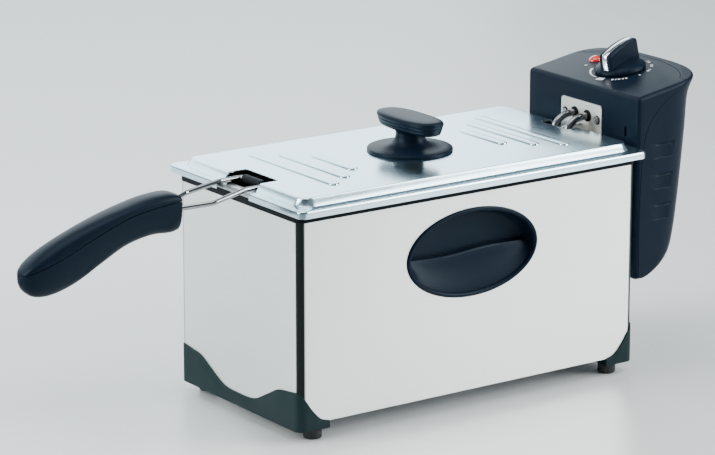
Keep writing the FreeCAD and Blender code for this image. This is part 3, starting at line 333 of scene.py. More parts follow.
def paint_bend_reflection(look, colour, most, start, full):
    """Mix a dark tone into the base colour where the sheet turns from one upright face to the next, as a
    painted dark reflection along the bend. The amount grows from none to most as the product of the normal's
    two level parts grows from start to full."""
    nodes, links = look.node_tree.nodes, look.node_tree.links
    shader = nodes["Principled BSDF"]
    normal = nodes.new("ShaderNodeNewGeometry")
    split = nodes.new("ShaderNodeSeparateXYZ")
    links.new(normal.outputs["Normal"], split.inputs[0])
    product = nodes.new("ShaderNodeMath")
    product.operation = "MULTIPLY"
    links.new(split.outputs["X"], product.inputs[0])
    links.new(split.outputs["Y"], product.inputs[1])
    size = nodes.new("ShaderNodeMath")
    size.operation = "ABSOLUTE"
    links.new(product.outputs[0], size.inputs[0])
    amount = nodes.new("ShaderNodeMapRange")
    amount.interpolation_type = "SMOOTHSTEP"
    set_range(amount, start, full, 0.0, most)
    links.new(size.outputs[0], amount.inputs["Value"])
    mix = nodes.new("ShaderNodeMix")
    mix.data_type = "RGBA"
    links.new(amount.outputs["Result"], mix.inputs["Factor"])
    links.new(shader.inputs["Base Color"].links[0].from_socket, mix.inputs["A"])
    mix.inputs["B"].default_value = (*colour, 1)
    links.new(mix.outputs["Result"], shader.inputs["Base Color"])


def tune(look, values):
    """Set uniform values on a look's shader."""
    for socket, value in values.items():
        look.node_tree.nodes["Principled BSDF"].inputs[socket].default_value = value


LEVEL_GRAIN = (22, 22, 850)
LONG_GRAIN = (10, 1300, 1300)
CROSS_GRAIN = (1200, 14, 1200)
ANY_GRAIN = (500, 500, 500)
METAL, PLASTIC = 1.0, 0.0
# name, colour, roughness, metal or not, spread, grain, shade, bump
LOOK_TABLE = [
    ("brushed_casing", (0.92, 0.975, 0.935), 0.34, METAL, 0.05, LEVEL_GRAIN, 0.04, 0.1),
    ("lid_steel", (0.7, 0.9, 1.0), 0.19, METAL, 0.015, (60, 60, 60), 0.012, 0.0),
    ("pan_steel", (0.46, 0.48, 0.48), 0.3, METAL, 0.05, LONG_GRAIN, 0.04, 0.05),
    ("wire_chrome", (0.36, 0.37, 0.38), 0.1, METAL, 0.04, ANY_GRAIN, 0.04, 0.03),
    ("element_steel", (0.25, 0.26, 0.27), 0.2, METAL, 0.06, ANY_GRAIN, 0.1, 0.06),
    ("plate_steel", (0.74, 0.72, 0.67), 0.42, METAL, 0.06, CROSS_GRAIN, 0.06, 0.1),
    ("screw_steel", (0.66, 0.66, 0.65), 0.28, METAL, 0.05, ANY_GRAIN, 0.05, 0.04),
    ("sheet_zinc", (0.6, 0.62, 0.64), 0.42, METAL, 0.08, (90, 90, 90), 0.12, 0.05),
    ("insert_chrome", (0.86, 0.88, 0.9), 0.14, METAL, 0.03, ANY_GRAIN, 0.03, 0.02),
    ("brass_part", (0.72, 0.52, 0.24), 0.3, METAL, 0.06, ANY_GRAIN, 0.06, 0.05),
    ("black_plastic", (0.004, 0.009, 0.018), 0.38, PLASTIC, 0.05, (1500, 1500, 1500), 0.1, 0.12),
    ("skirt_plastic", (0.013, 0.025, 0.026), 0.42, PLASTIC, 0.05, (1500, 1500, 1500), 0.1, 0.12),
    ("grip_plastic", (0.004, 0.009, 0.017), 0.36, PLASTIC, 0.05, (1300, 1300, 1300), 0.1, 0.1),
    ("rim_plastic", (0.005, 0.006, 0.007), 0.5, PLASTIC, 0.06, (900, 900, 900), 0.1, 0.1),
    ("foot_rubber", (0.014, 0.015, 0.016), 0.68, PLASTIC, 0.07, (1100, 1100, 1100), 0.15, 0.25),
    ("lens_red", (0.62, 0.02, 0.012), 0.16, PLASTIC, 0.03, ANY_GRAIN, 0.1, 0.02),
    ("lamp_glass", (0.85, 0.55, 0.4), 0.2, PLASTIC, 0.04, ANY_GRAIN, 0.08, 0.03),
    ("terminal_ceramic", (0.76, 0.72, 0.64), 0.5, PLASTIC, 0.08, (700, 700, 700), 0.06, 0.1),
    ("switch_plastic", (0.05, 0.05, 0.055), 0.45, PLASTIC, 0.06, (900, 900, 900), 0.1, 0.1),
    ("reset_plastic", (0.42, 0.025, 0.02), 0.35, PLASTIC, 0.05, (900, 900, 900), 0.08, 0.08),
    ("print_white", (0.8, 0.81, 0.82), 0.5, PLASTIC, 0.05, (900, 900, 900), 0.03, 0.03),
]
LOOKS = {name: surface(name, *values) for name, *values in LOOK_TABLE}
# Painted dark reflections: a near-black band on the casing's rounded upright corners, and a dark slate patch
# on the lid panel's rounded corners.
paint_bend_reflection(LOOKS["brushed_casing"], (0.004, 0.006, 0.006), 0.985, 0.06, 0.3)
paint_bend_reflection(LOOKS["lid_steel"], (0.09, 0.14, 0.18), 0.75, 0.2, 0.38)
for name in ("black_plastic", "skirt_plastic", "grip_plastic", "rim_plastic"):
    tune(LOOKS[name], {"Specular IOR Level": 0.09, "Specular Tint": (0.7, 0.88, 1.0, 1)})
tune(LOOKS["lens_red"], {"Coat Weight": 0.7, "Coat Roughness": 0.12})

# ---- casing, rim, pan, skirts, feet --------------------------------------------------------------
CORNER = 7.0
GRIP_Z, GRIP_X, GRIP_HEIGHT = 140.4, 70.5, 39.7
GRIP_LAP = 2


def outline(outset, z):
    """The casing's outline at height z, grown by outset."""
    return rounded_ring(HALF_X + outset, HALF_Y + outset, max(CORNER + outset, 0.5), z)


walls = Shape().rings([outline(0, CASING_BOTTOM), outline(0, CASING_TOP), outline(-1, CASING_TOP),
                       outline(-1, CASING_BOTTOM)], looped=True)
casing = make_object("casing_shell", walls)
carve(casing, Shape().rings([ellipse_ring(GRIP_X - GRIP_LAP, GRIP_HEIGHT - GRIP_LAP, y, GRIP_Z)
                             for y in (-HALF_Y - 5, HALF_Y + 5)]))
finish_piece(casing, "brushed_casing", "housing", "casing")

# (outset from the casing, height) round the rim's section. The rim's own section stands above 196.05; the thin
# black skin on the casing's outside from 196.05 down to 192.6 is a painted shadow under the lid's edge.
RIM_SECTION = [(0.1, 192.6), (0.6, 192.9), (0.6, 198.9), (0.3, 199.2), (-3, 199.2), (-3, 189), (-1.1, 189),
               (-1.1, 196.05), (0.1, 196.05)]
rim = Shape().rings([outline(out, z) for out, z in RIM_SECTION], looped=True)
piece("rim_with_shadow_band", rim, "rim_plastic", "housing", "top_rim")

PAN_X, PAN_Y, PAN_CORNER = 173.0, 74.0, 24.0
PAN_UNDERSIDE = 31.0
# (inset, height) on the inside of the pan, from its floor to its mouth
PAN_WALL = [(11.5, 32.0), (8.6, 32.6), (6.0, 34.4), (4.2, 37.2), (3.2, 41.0), (0.3, 198.0), (0.0, 201.6)]
# (outset from the casing, height) round the turned-down edge of the flange
PAN_EDGE = [(-1.2, 204.4), (0.0, 204.2), (0.6, 203.4), (0.6, 199.5), (-0.4, 199.5), (-0.4, 203.2),
            (-1.6, 203.4)]


def pan_ring(inset, z):
    return rounded_ring(PAN_X - inset, PAN_Y - inset, PAN_CORNER - inset, max(z, PAN_UNDERSIDE))


pan_rings = [pan_ring(inset, z) for inset, z in [*PAN_WALL, (-0.4, 203.2), (-1.2, 204.1), (-2.6, 204.4)]]
pan_rings += [outline(out, z) for out, z in PAN_EDGE]
pan_rings += [pan_ring(-2.4, 203.2)] + [pan_ring(inset - 1, z - 1) for inset, z in reversed(PAN_WALL)]
piece("pan_shell", Shape().rings(pan_rings), "pan_steel", "oil_pan", "oil_pan", angle=50)

SKIRT_X, SKIRT_OUT = 151.0, 1.1
SKIRT_FOOT = 9.8
FOOT_X, FOOT_Y = 160.9, 82.0
# (distance from the middle of the end, height) and (distance along the long face, height) of the upper edge
SKIRT_WAVE = [(-24, 23.2), (0, 21.5), (24, 23.2), (45, 33), (60, 40.5), (78, 43.4), (96, 45.6)]
SKIRT_SWEEP = [(151, 16.5), (160, 19.5), (168.5, 28), (176, 38.5), (184.4, 47.6)]
# (radius, height) of a foot's section
FOOT_PROFILE = [(2.2, 5.0), (4.5, 5.0), (4.5, 0.4), (4.8, 0.0), (6.9, 0.0), (7.6, 0.3), (8.0, 1.0),
                (8.0, 9.4), (7.6, 9.8), (2.2, 9.8), (2.2, 5.0)]


def skirt_height(x, y):
    return min(through(SKIRT_WAVE, abs(y)), through(SKIRT_SWEEP, x))


def skirt_route():
    """Points and outward directions along the outside of the skirt, from one long face to the other."""
    far_x, far_y, turn_r = HALF_X + SKIRT_OUT, HALF_Y + SKIRT_OUT, CORNER + SKIRT_OUT
    route = []
    for k in range(25):
        route.append((SKIRT_X + (far_x - turn_r - SKIRT_X) * k / 24, -far_y, 0.0, -1.0))
    for k in range(1, 10):
        a = math.pi / 2 * k / 9
        route.append((far_x - turn_r + turn_r * math.sin(a), -far_y + turn_r - turn_r * math.cos(a),
                      math.sin(a), -math.cos(a)))
    for k in range(1, 72):
        route.append((far_x, -(far_y - turn_r) * (1 - 2 * k / 72), 1.0, 0.0))
    back = [(x, -y, nx, -ny) for x, y, nx, ny in reversed(route[:34])]
    return route + back


def skirt(sign):
    """Wrap round one end of the casing, with its floor and the two screw posts of the feet."""
    sections = []
    for x, y, nx, ny in skirt_route():
        top = skirt_height(x, y)
        section = [(0.0, SKIRT_FOOT), (0.0, top - 0.5), (0.15, top - 0.15), (0.5, top), (1.05, top),
                   (1.05, 16.1), (3.0, 16.1), (3.0, SKIRT_FOOT)]
        sections.append([Vector((sign * (x - nx * depth), y - ny * depth, max(z, SKIRT_FOOT)))
                         for depth, z in section])
    form = Shape().rings(sections)
    base = [Vector((sign * (x - nx), y - ny, SKIRT_FOOT)) for x, y, nx, ny in skirt_route()]
    form.rings([base, [point + Vector((0, 0, 2.5)) for point in base]])
    for y in (-FOOT_Y, FOOT_Y):
        form.lathe([(6.0, 10.0), (6.0, 16.9)], (sign * FOOT_X, y), 32)
    return form


for side, sign in (("right", 1), ("left", -1)):
    piece("skirt_" + side, skirt(sign), "skirt_plastic", "housing", "end_skirt_" + side)
    for end, sy in (("front", -1), ("back", 1)):
        foot = Shape().lathe(FOOT_PROFILE, (sign * FOOT_X, sy * FOOT_Y), 48)
        piece("rubber_foot_%s_%s" % (side, end), foot, "foot_rubber", "housing", "foot_%s_%s" % (side, end))

# ---- oval carrying grips -------------------------------------------------------------------------
# (half length, distance out) round the cup's wall, from its floor over the lip and back
CUP = [(20, 78.2), (60.5, 78.2), (62.6, 79.0), (64.4, 81.0), (65.4, 86.0), (66.0, 92.2), (66.4, 93.6),
       (67.2, 94.5), (68.4, 94.8), (69.6, 94.5), (70.3, 93.7), (70.5, 92.95), (68.4, 92.95), (68.2, 77.4),
       (66.0, 76.4), (20, 76.4)]
# (share of the ramp's height, depth behind the casing)
RAMP = [(0.0, 0.9), (0.1, 1.5), (0.3, 3.4), (0.55, 5.6), (0.8, 7.5), (0.93, 8.2), (0.985, 8.7), (1.0, 9.4),
        (1.0, 14.9)]
RAMP_X, RAMP_DROP = 66.2, 35.6


def crease_z(x):
    """Height of the S-shaped upper edge of the ramp."""
    return GRIP_Z - 0.6 + 2.1 * math.sin(math.pi * x / 66) * (1 - abs(x) / 90)


def cup():
    """Oval cup with a ramp in its lower half."""
    form = Shape().rings([ellipse_ring(half, half - GRIP_X + GRIP_HEIGHT if half > 40 else 8.0, -y, GRIP_Z)
                          for half, y in CUP])
    rows = []
    steps = 80
    for share, sink in RAMP:
        row = []
        for k in range(steps + 1):
            x = -RAMP_X * math.cos(math.pi * k / steps)
            low = GRIP_Z - RAMP_DROP * math.sqrt(max(0.0, 1 - (x / (RAMP_X + 0.1)) ** 2))
            row.append(Vector((x, -HALF_Y + sink, low + (max(crease_z(x), low) - low) * share)))
        rows.append(row)
    return form.grid(rows)


for end, sign in (("front", 1), ("back", -1)):
    grip = cup().moved(Matrix.Diagonal((sign, sign, 1, 1)))
    piece("grip_cup_" + end, grip, "black_plastic", "housing", "side_grip_" + end, angle=40)

# ---- lid -----------------------------------------------------------------------------------------
PANEL_X, PANEL_Y, PANEL_CORNER, PANEL_SLOPE = 178.5, 94, 14, 4
# (where the notch ends, half width)
NOTCH_FRONT, NOTCH_BACK = (-156, 25), (161.5, 20)
# (distance from the middle, half length) of each rib, and (rise, half width) of its section
RIB_PLACES = [(81.0, 32.0), (102.5, 51.0), (124.0, 66.0)]
RIB_SECTION = [(-0.3, 4.9), (0.0, 4.8), (0.7, 4.55), (1.05, 4.1), (1.2, 3.3), (1.25, 1.8)]


def lid_edge(inset, z):
    return rounded_ring(LID_HALF_X - inset, LID_HALF_Y - inset, max(CORNER - inset, 1.5), z, 0.0, 16)


def lid_panel(share, z, inset=0.0):
    """Ring on the slope of the raised panel: share 0 at its foot, 1 at its top edge."""
    move = PANEL_SLOPE * share + inset
    return rounded_ring(PANEL_X - move, PANEL_Y - move, PANEL_CORNER - move, z, 0.0, 16)


top_z, flange_z = LID_PANEL_Z, LID_FLANGE_Z
lid_rings = [lid_panel(1, top_z - 1, 1.6), lid_panel(1, top_z - 1.3, 1.0), lid_panel(0, flange_z - 1, 1.0)]
lid_rings += [lid_edge(1.6, flange_z - 1), lid_edge(1.0, flange_z - 1.6), lid_edge(1.0, LID_EDGE_Z + 0.1)]
lid_rings += [lid_edge(0.5, LID_EDGE_Z), lid_edge(0.0, LID_EDGE_Z + 0.4)]
lid_rings += [lid_edge(2.0 * (1 - math.cos(a)), flange_z - 2.0 * (1 - math.sin(a)))
              for a in (math.pi / 2 * k / 6 for k in range(7))]
lid_rings += [lid_panel(0, flange_z, -1.3), lid_panel(0, flange_z + 0.12, -0.6), lid_panel(0, flange_z + 0.6)]
lid_rings += [lid_panel(0.86, top_z - 1.0), lid_panel(0.97, top_z - 0.3), lid_panel(1, top_z - 0.05, 0.5),
              lid_panel(1, top_z, 1.3)]
lid = make_object("lid_pressing", Shape().rings(lid_rings))
carve(lid, Shape().block((-LID_HALF_X - 5, -NOTCH_FRONT[1], 190), (NOTCH_FRONT[0], NOTCH_FRONT[1], 230)))
carve(lid, Shape().block((NOTCH_BACK[0], -NOTCH_BACK[1], 190), (LID_HALF_X + 5, NOTCH_BACK[1], 230)))
ribs = Shape()
for x, half in RIB_PLACES:
    for sign in (-1, 1):
        ribs.rings([rounded_ring(width, half - 4.8 + width, width - 0.01, top_z + rise, sign * x)
                    for rise, width in RIB_SECTION])
join(lid, make_object("ribs", ribs))
finish_piece(lid, "lid_steel", "lid", "lid_shell", angle=40)

# ---- lid knob ------------------------------------------------------------------------------------
# (radius, height) of the disc and its stem
DISC_PROFILE = [(2.5, 212.6), (37.4, 212.6), (38.0, 213.2), (38.0, 214.6), (37.6, 215.2), (36.6, 215.6),
                (31, 216.1), (25, 216.8), (20.0, 217.8), (16.8, 219.2), (14.6, 221.2), (13.2, 224.0),
                (12.6, 227.4), (12.9, 229.8), (14.0, 231.6), (2.5, 231.6), (2.5, 212.6)]
# (half width, half length, height) up the bar, with two fine grooves round it
BAR_STEPS = [(10.5, 32.5, 231.0), (12.6, 35.4, 231.15), (14.0, 37.2, 231.9), (14.7, 38.0, 233.4),
             (15.3, 38.6, 235.1), (15.15, 38.5, 235.4), (15.3, 38.6, 235.7), (15.7, 39.0, 236.1),
             (16.2, 39.5, 238.4), (16.05, 39.4, 238.7), (16.2, 39.5, 239.0), (16.55, 39.9, 239.4),
             (16.9, 40.3, 240.7), (16.8, 40.2, 242.0), (16.2, 39.6, 242.9), (15.0, 38.4, 243.4),
             (12.0, 35.0, 243.8), (6.0, 27.0, 244.0)]
piece("knob_disc", Shape().lathe(DISC_PROFILE, sides=96), "black_plastic", "lid", "lid_knob_base", angle=50)


def bar_ring(half_x, half_y, z, power=2.7, sides=72):
    """Long oval, anticlockwise, fuller than an ellipse."""
    ring = []
    for k in range(sides):
        turn = 2 * math.pi * k / sides
        across, along = math.cos(turn), math.sin(turn)
        ring.append(Vector((math.copysign(abs(across) ** (2 / power), across) * half_x,
                            math.copysign(abs(along) ** (2 / power), along) * half_y, z)))
    return ring


grip_bar = make_object("knob_bar", Shape().rings([bar_ring(*step) for step in BAR_STEPS]))
carve(grip_bar, Shape().lathe([(2.6, 232.0), (2.6, 240.5)], sides=24))
finish_piece(grip_bar, "grip_plastic", "lid", "lid_knob_grip", angle=50)

# ---- control head --------------------------------------------------------------------------------
# (height, distance back) up the back of the head
HEAD_REAR = [(80, 208), (85, 222), (91, 233), (100, 242), (115, 247.5), (141, 252.5), (178, 257.5),
             (217, 262), (237, 263.5), (246, 265.5), (252, 269), (257, 272), (268, 273)]
# (distance back, height) up the joint between the head's covers
HEAD_SEAM = [(197.9, 70), (197.5, 145), (199.7, 190), (203.5, 215), (214, 231.5), (229, 243.5), (246, 251.5),
             (252, 258)]
BOW = 8.0
HEAD_WALL = 2.5
HEAD_TALL = 160
JOINT_GAP = 0.3
GROOVE_START, GROOVE_LENGTH = 208, 34
# (lowest, highest) point of each finger groove
GROOVES = [(132.5, 147.5), (161, 175.5), (189.5, 204)]
# shares of the outline at the end of the half front, of the front corner, and of the side
FRONT_END, CORNER_END, SIDE_END = 0.16, 0.32, 0.55


def head_point(share, z, inset, fullness=3.0):
    """Point of the head's D-shaped outline at height z. share runs from 0, the middle of the front, to 1,
    the middle of the back, on the near side. fullness squares up the curve round the back."""
    rear = through(HEAD_REAR, z)
    front, side = HEAD_FRONT + inset, HEAD_SIDE - inset
    corner = min(max(3.4 - inset, 0.8), 0.4 * (rear - front))
    start = rear - min(42.0, 0.5 * (rear - front))
    if share < FRONT_END:
        return front, -(side - corner) * share / FRONT_END
    if share < CORNER_END:
        turn = math.pi / 2 * (share - FRONT_END) / (CORNER_END - FRONT_END)
        return front + corner * (1 - math.cos(turn)), -(side - corner) - corner * math.sin(turn)
    if share < SIDE_END:
        done = (share - CORNER_END) / (SIDE_END - CORNER_END)
        return front + corner + (start - front - corner) * done, -side
    turn = math.pi / 2 * (share - SIDE_END) / (1 - SIDE_END)
    power = 2 / fullness
    return (start + (rear + BOW - inset - start) * math.sin(turn) ** power,
            -side * max(0.0, math.cos(turn)) ** power if share < 1 else 0.0)


# (from share, to share, steps)
HEAD_SPANS = [(0.0, FRONT_END, 6), (FRONT_END, CORNER_END, 6), (CORNER_END, SIDE_END, 10),
              (SIDE_END, 1.0, 30)]
HEAD_STEPS = [low + (high - low) * k / count for low, high, count in HEAD_SPANS for k in range(count)] + [1.0]


def head_ring(height, inset, drop, fullness=3.0):
    """Closed ring at a share of the head's height; drop lowers it below the sloping top."""
    half = []
    for share in HEAD_STEPS:
        x, y = head_point(share, HEAD_BOTTOM + HEAD_TALL * height, 0.0, fullness)
        for _ in range(4):
            top = panel_z(x) - (drop(x) if callable(drop) else drop)
            z = HEAD_BOTTOM + (top - HEAD_BOTTOM) * height
            sink = inset(x) if callable(inset) else inset
            x, y = head_point(share, z, sink, fullness)
        half.append(Vector((x, y, z)))
    return half + [Vector((p.x, -p.y, p.z)) for p in reversed(half[1:-1])]


def top_round(x):
    """Radius of the head's upper edge: full at the front, small round the lip at the back."""
    return 3.8 - 1.4 * smooth_step(x, 228, 262)


def head_form(wall=0.0):
    """Outer form of the head, or, with a wall, the hollow inside it."""
    levels = [0.0, 0.012, 0.03, 0.055, 0.085, 0.12, 0.16, 0.21, 0.27, 0.34, 0.42, 0.5, 0.58, 0.66, 0.74, 0.81,
              0.86, 0.9, 0.93, 0.955, 0.975, 0.99]
    if wall:
        return Shape().rings([head_ring(level, wall, wall) for level in [0.016, *levels[2:], 1.0]])
    foot = head_ring(0.0, 1.2, 0.0)
    rings = [foot] + [head_ring(level, 0.0, top_round) for level in levels[1:] + [1.0]]
    for k in range(1, 9):
        turn = math.pi / 2 * k / 8
        rings.append(head_ring(1.0, lambda x: top_round(x) * (1 - math.cos(turn)),
                               lambda x: top_round(x) * (1 - math.sin(turn))))
    return Shape().rings(rings)


# sides of the block that cuts the covers apart, well outside the head
SPACE_X, SPACE_Y, SPACE_LOW, SPACE_HIGH = 150, 90, 70, 330


def head_front_space(gap):
    """Everything in front of the joint between the head's covers. The inset panel on top is joined to it by
    the caller.
    """
    seam = [(z, x) for x, z in HEAD_SEAM]
    heights = [SPACE_LOW + 8 * k for k in range(23)] + [251.5, 255, 258]
    shape = [Vector((through(seam, z) + gap, -SPACE_Y, z)) for z in heights]
    shape += [Vector((shape[-1].x, -SPACE_Y, SPACE_HIGH)), Vector((SPACE_X, -SPACE_Y, SPACE_HIGH)),
              Vector((SPACE_X, -SPACE_Y, SPACE_LOW))]
    return Shape().rings([shape, [Vector((p.x, SPACE_Y, p.z)) for p in shape]])


def inset_panel(gap):
    """Upright D-shaped block inside the lip round the back of the head's top."""
    outline_points = head_ring(0.99, 7.0 + gap, 0.0, 2.15)
    return Shape().rings([[Vector((p.x, p.y, panel_z(p.x) + rise)) for p in outline_points]
                          for rise in (-5.5, 60)])


def wedge(low, high, sign):
    """Finger groove: deepest at its upper edge, shallow at its lower one, fading out at both ends."""
    rings = []
    for k in range(25):
        x = GROOVE_START + GROOVE_LENGTH * k / 24
        fade = math.sin(math.pi * k / 24) ** 1.6
        rings.append([Vector((x, sign * (HEAD_SIDE + 0.02 - depth * fade), z)) for depth, z in (
            (-2.0, high + 0.4), (-0.01, high + 0.1), (2.35, high), (2.35, high - 1.5), (1.2, high - 2.9),
            (0.75, low + 0.7), (-0.01, low), (-2.0, low - 0.2))])
    return Shape().rings(rings)


front_cover = make_object("head_front", head_form())
carve(front_cover, head_form(HEAD_WALL))
rear_cover = front_cover.copy()
rear_cover.data = front_cover.data.copy()
rear_cover.name = "head_rear"
bpy.context.scene.collection.objects.link(rear_cover)
runner_slot = ((HEAD_FRONT - 2, -4.5, HEAD_BOTTOM - 2), (206, 4.5, 122.5))
for cover, operation, gap in ((front_cover, "INTERSECT", -JOINT_GAP), (rear_cover, "DIFFERENCE", JOINT_GAP)):
    space = make_object("space", head_front_space(gap))
    carve(space, inset_panel(-gap), "UNION")
    combine(cover, space, operation)
for cover in (front_cover, rear_cover):
    carve(cover, Shape().block(*runner_slot))
carve(front_cover, Shape().block((190, -63.5, 210), (200, -61, 219)))
carve(front_cover, Shape().block((190, -20, 206), (200, 20, 225)))
for low, high in GROOVES:
    for sign in (-1, 1):
        carve(rear_cover, wedge(low, high, sign))
finish_piece(front_cover, "black_plastic", "control_head", "head_front_cover", angle=22)
finish_piece(rear_cover, "black_plastic", "control_head", "head_rear_cover", angle=22)


def on_panel(x, y, turn=0.0):
    """Matrix that stands something built at the origin on the head's sloping top."""
    return (Matrix.Translation((x, y, panel_z(x))) @ Matrix.Rotation(-HEAD_SLOPE, 4, "Y")
            @ Matrix.Rotation(math.radians(turn), 4, "Z"))


PLATE_LOW, PLATE_HIGH, PLATE_Y = 190, 231.5, 29
PLATE_MIDDLE, PLATE_HALF = (PLATE_LOW + PLATE_HIGH) / 2, (PLATE_HIGH - PLATE_LOW) / 2
plate_corners = [Vector((0, y, z)) for y, z in ((-PLATE_Y, PLATE_LOW), (PLATE_Y, PLATE_LOW),
                                                (PLATE_Y, PLATE_HIGH), (-PLATE_Y, PLATE_HIGH))]
plate_outline = bend_path(plate_corners, [1.0, 1.0, 3.5, 3.5], True, 5)
plate_rings = []
for x, shrink in ((194.0, 0.0), (193.1, 0.0), (192.85, 0.15), (192.8, 0.45)):
    plate_rings.append([Vector((x, p.y * (1 - shrink / PLATE_Y),
                                PLATE_MIDDLE + (p.z - PLATE_MIDDLE) * (1 - shrink / PLATE_HALF)))
                        for p in plate_outline])
piece("front_plate", Shape().rings(plate_rings), "plate_steel", "control_head", "element_plate")

DARK_RING_X = 192.9
# (y, z, radius, hole radius) of the two black rings round the tubes, a painted shadow where the tubes pass
# through the plate, and of the two screw washers
DARK_RINGS = [(-9, 219, 5.6, 3.3), (9, 219, 5.6, 3.3), (-23, 217.5, 4.3, 1.7), (23, 217.5, 4.3, 1.7)]
dark_rings = Shape()
for y, z, radius, hole in DARK_RINGS:
    collar = [(hole, 0.0), (radius, 0.0), (radius - 0.2, 0.7), (radius - 0.7, 0.95), (hole, 0.95),
              (hole, 0.0)]
    rows = [[Vector((DARK_RING_X - up, y + r * math.cos(a), z + r * math.sin(a)))
             for a in (2 * math.pi * k / 32 for k in range(32))] for r, up in collar]
    dark_rings.rings(rows, caps=False)
# The black rings round the tubes are painted shadow; the rings round the screws are washers.
piece("plate_dark_rings", dark_rings, "rim_plastic", "control_head", angle=40)

DROP_X = 167
ELEMENT_Z = 44
tube = [(205, 9, 219), (DROP_X, 9, 219), (DROP_X, 9, ELEMENT_Z), (132, 9, ELEMENT_Z), (104, 48, ELEMENT_Z),
        (-130, 48, ELEMENT_Z), (-130, 16, ELEMENT_Z), (86, 16, ELEMENT_Z)]
tube += [(x, -y, z) for x, y, z in reversed(tube)]
bends = [20, 16, 12, 16, 15.9, 15.9, 7.9]
tube_path = bend_path(tube, bends + bends[::-1], steps=10)
piece("element_tube", Shape().tube(tube_path, 3.25, 18), "element_steel", "control_head", "heating_element",
      angle=50)
capillary = bend_path([(205, 0, 210), (DROP_X, 0, 210), (DROP_X, 0, 52.8), (150, 0, 52.8)], [8, 8])
piece("capillary", Shape().tube(capillary, 1.1, 10), "screw_steel", "control_head", "sensor_capillary",
      angle=50)

# ---- thermostat knob, dial, lamp -----------------------------------------------------------------
KNOB_X = 238
LAMP_X, LAMP_Y = 243, 42
KNOB_AT = on_panel(KNOB_X, 0, 13)
# (radius, height) of the knob's skirt and of its ribs, and (along, height) of its bar and its bright insert
KNOB_SKIRT = [(0.5, 0.6), (22.9, 0.6), (23.5, 1.1), (23.5, 2.4), (23.1, 3.3), (21.8, 4.6), (19.0, 5.9),
              (15.0, 7.0), (9.0, 7.8), (0.5, 8.0)]
KNOB_BAR = [(-20.5, 3.6), (-20.5, 18.2), (-19.4, 19.7), (-13, 21.4), (-6, 22.9), (1, 23.9), (8, 24.5),
            (16, 24.5), (20.2, 24.0), (21.4, 22.4), (22.5, 3.6)]
KNOB_INSERT = [(-20.75, 4.4), (-20.75, 18.3), (-19.5, 19.95), (-13, 21.65), (-6, 23.15), (1, 24.15),
               (8, 24.75), (16, 24.75), (19.0, 24.4)]
KNOB_RIB = [(23.3, 1.0), (23.75, 1.2), (23.75, 2.4), (23.2, 3.5), (21.9, 4.8), (21, 2)]
bar_rows = []
for y, shrink in ((-6.5, 1.4), (-6.3, 0.6), (-5.7, 0.15), (-5.0, 0.0), (5.0, 0.0), (5.7, 0.15), (6.3, 0.6),
                  (6.5, 1.4)):
    bar_rows.append([Vector((x * (1 - shrink / 22), y, z - shrink if z > 10 else z)) for x, z in KNOB_BAR])
dial_knob = Shape().lathe(KNOB_SKIRT, sides=96).rings(bar_rows)
for k in range(24):
    turn = 2 * math.pi * k / 24
    edges = [Matrix.Rotation(turn + side, 4, "Z") for side in (-0.03, 0.03)]
    dial_knob.rings([[edge @ Vector((r, 0, z)) for r, z in KNOB_RIB] for edge in edges])
piece("dial_knob", dial_knob.moved(KNOB_AT), "black_plastic", "thermostat_knob", "thermostat_knob", angle=40)
insert_rows = []
for y, sink in ((-2.7, 0.8), (-2.6, 0.15), (-2.1, 0.0), (2.1, 0.0), (2.6, 0.15), (2.7, 0.8)):
    upper = [Vector((x + sink if x < -19 else x, y, z - sink if z > 18.2 else z)) for x, z in KNOB_INSERT]
    under = [Vector((p.x + (1.5 if p.x < -19 else 0), p.y, p.z - (1.5 if p.z > 18.2 else 0)))
             for p in reversed(upper)]
    insert_rows.append(upper + under)
piece("pointer_insert", Shape().rings(insert_rows).moved(KNOB_AT), "insert_chrome", "thermostat_knob",
      "knob_insert", angle=40)


def dial_arc(start, end, inner, outer, taper=0.0):
    """Printed band on the top panel, between two angles in degrees about the knob."""
    steps = max(3, int(abs(end - start) / 3))
    rings = []
    for k in range(steps + 1):
        share = k / steps
        turn = math.radians(start + (end - start) * share)
        edge = outer - taper * (1 - share)
        rings.append([Vector((r * math.cos(turn), r * math.sin(turn), z))
                      for r, z in ((inner, -0.1), (edge, -0.1), (edge, 0.06), (inner, 0.06))])
    return rings


# (angle, half width) of the printed marks, in degrees about the knob
DIAL_MARKS = [(216, 2.0), (222, 1.2), (228, 2.2), (235, 1.4), (241, 2.0), (268, 1.2), (292, 1.8), (299, 1.0),
              (318, 1.8), (325, 1.2), (343, 1.8), (350, 1.2)]
marks = Shape()
marks.rings(dial_arc(178, 118, 26.6, 29.0, 1.6))
marks.rings(dial_arc(184, 198, 26.0, 31.0, -1.0))
for turn, width in DIAL_MARKS:
    marks.rings(dial_arc(turn - width, turn + width, 27.6, 30.2))
marks.moved(on_panel(KNOB_X, 0))
lamp_mark = Shape().block((-1.4, -5.2, -0.1), (1.4, -4.2, 0.06)).block((-0.5, -6.2, -0.1), (0.5, -3.2, 0.06))
marks.add(lamp_mark.moved(on_panel(228, LAMP_Y)))
piece("dial_marks", marks, "print_white", "control_head", slot="black_plastic")

# (radius, height) of the lens: dome, rim and stem
LENS = [(0.4, 3.6), (2.0, 3.45), (3.6, 3.0), (5.0, 2.2), (6.0, 1.2), (6.4, 0.5), (6.5, 0.0), (4.9, 0.0),
        (4.9, -6.0), (3.6, -6.0), (3.6, -1.2), (0.4, -1.2)]
lens = Shape().lathe(LENS, sides=48).moved(on_panel(LAMP_X, LAMP_Y))
piece("lamp_lens", lens, "lens_red", "control_head", "indicator_lens", angle=50)

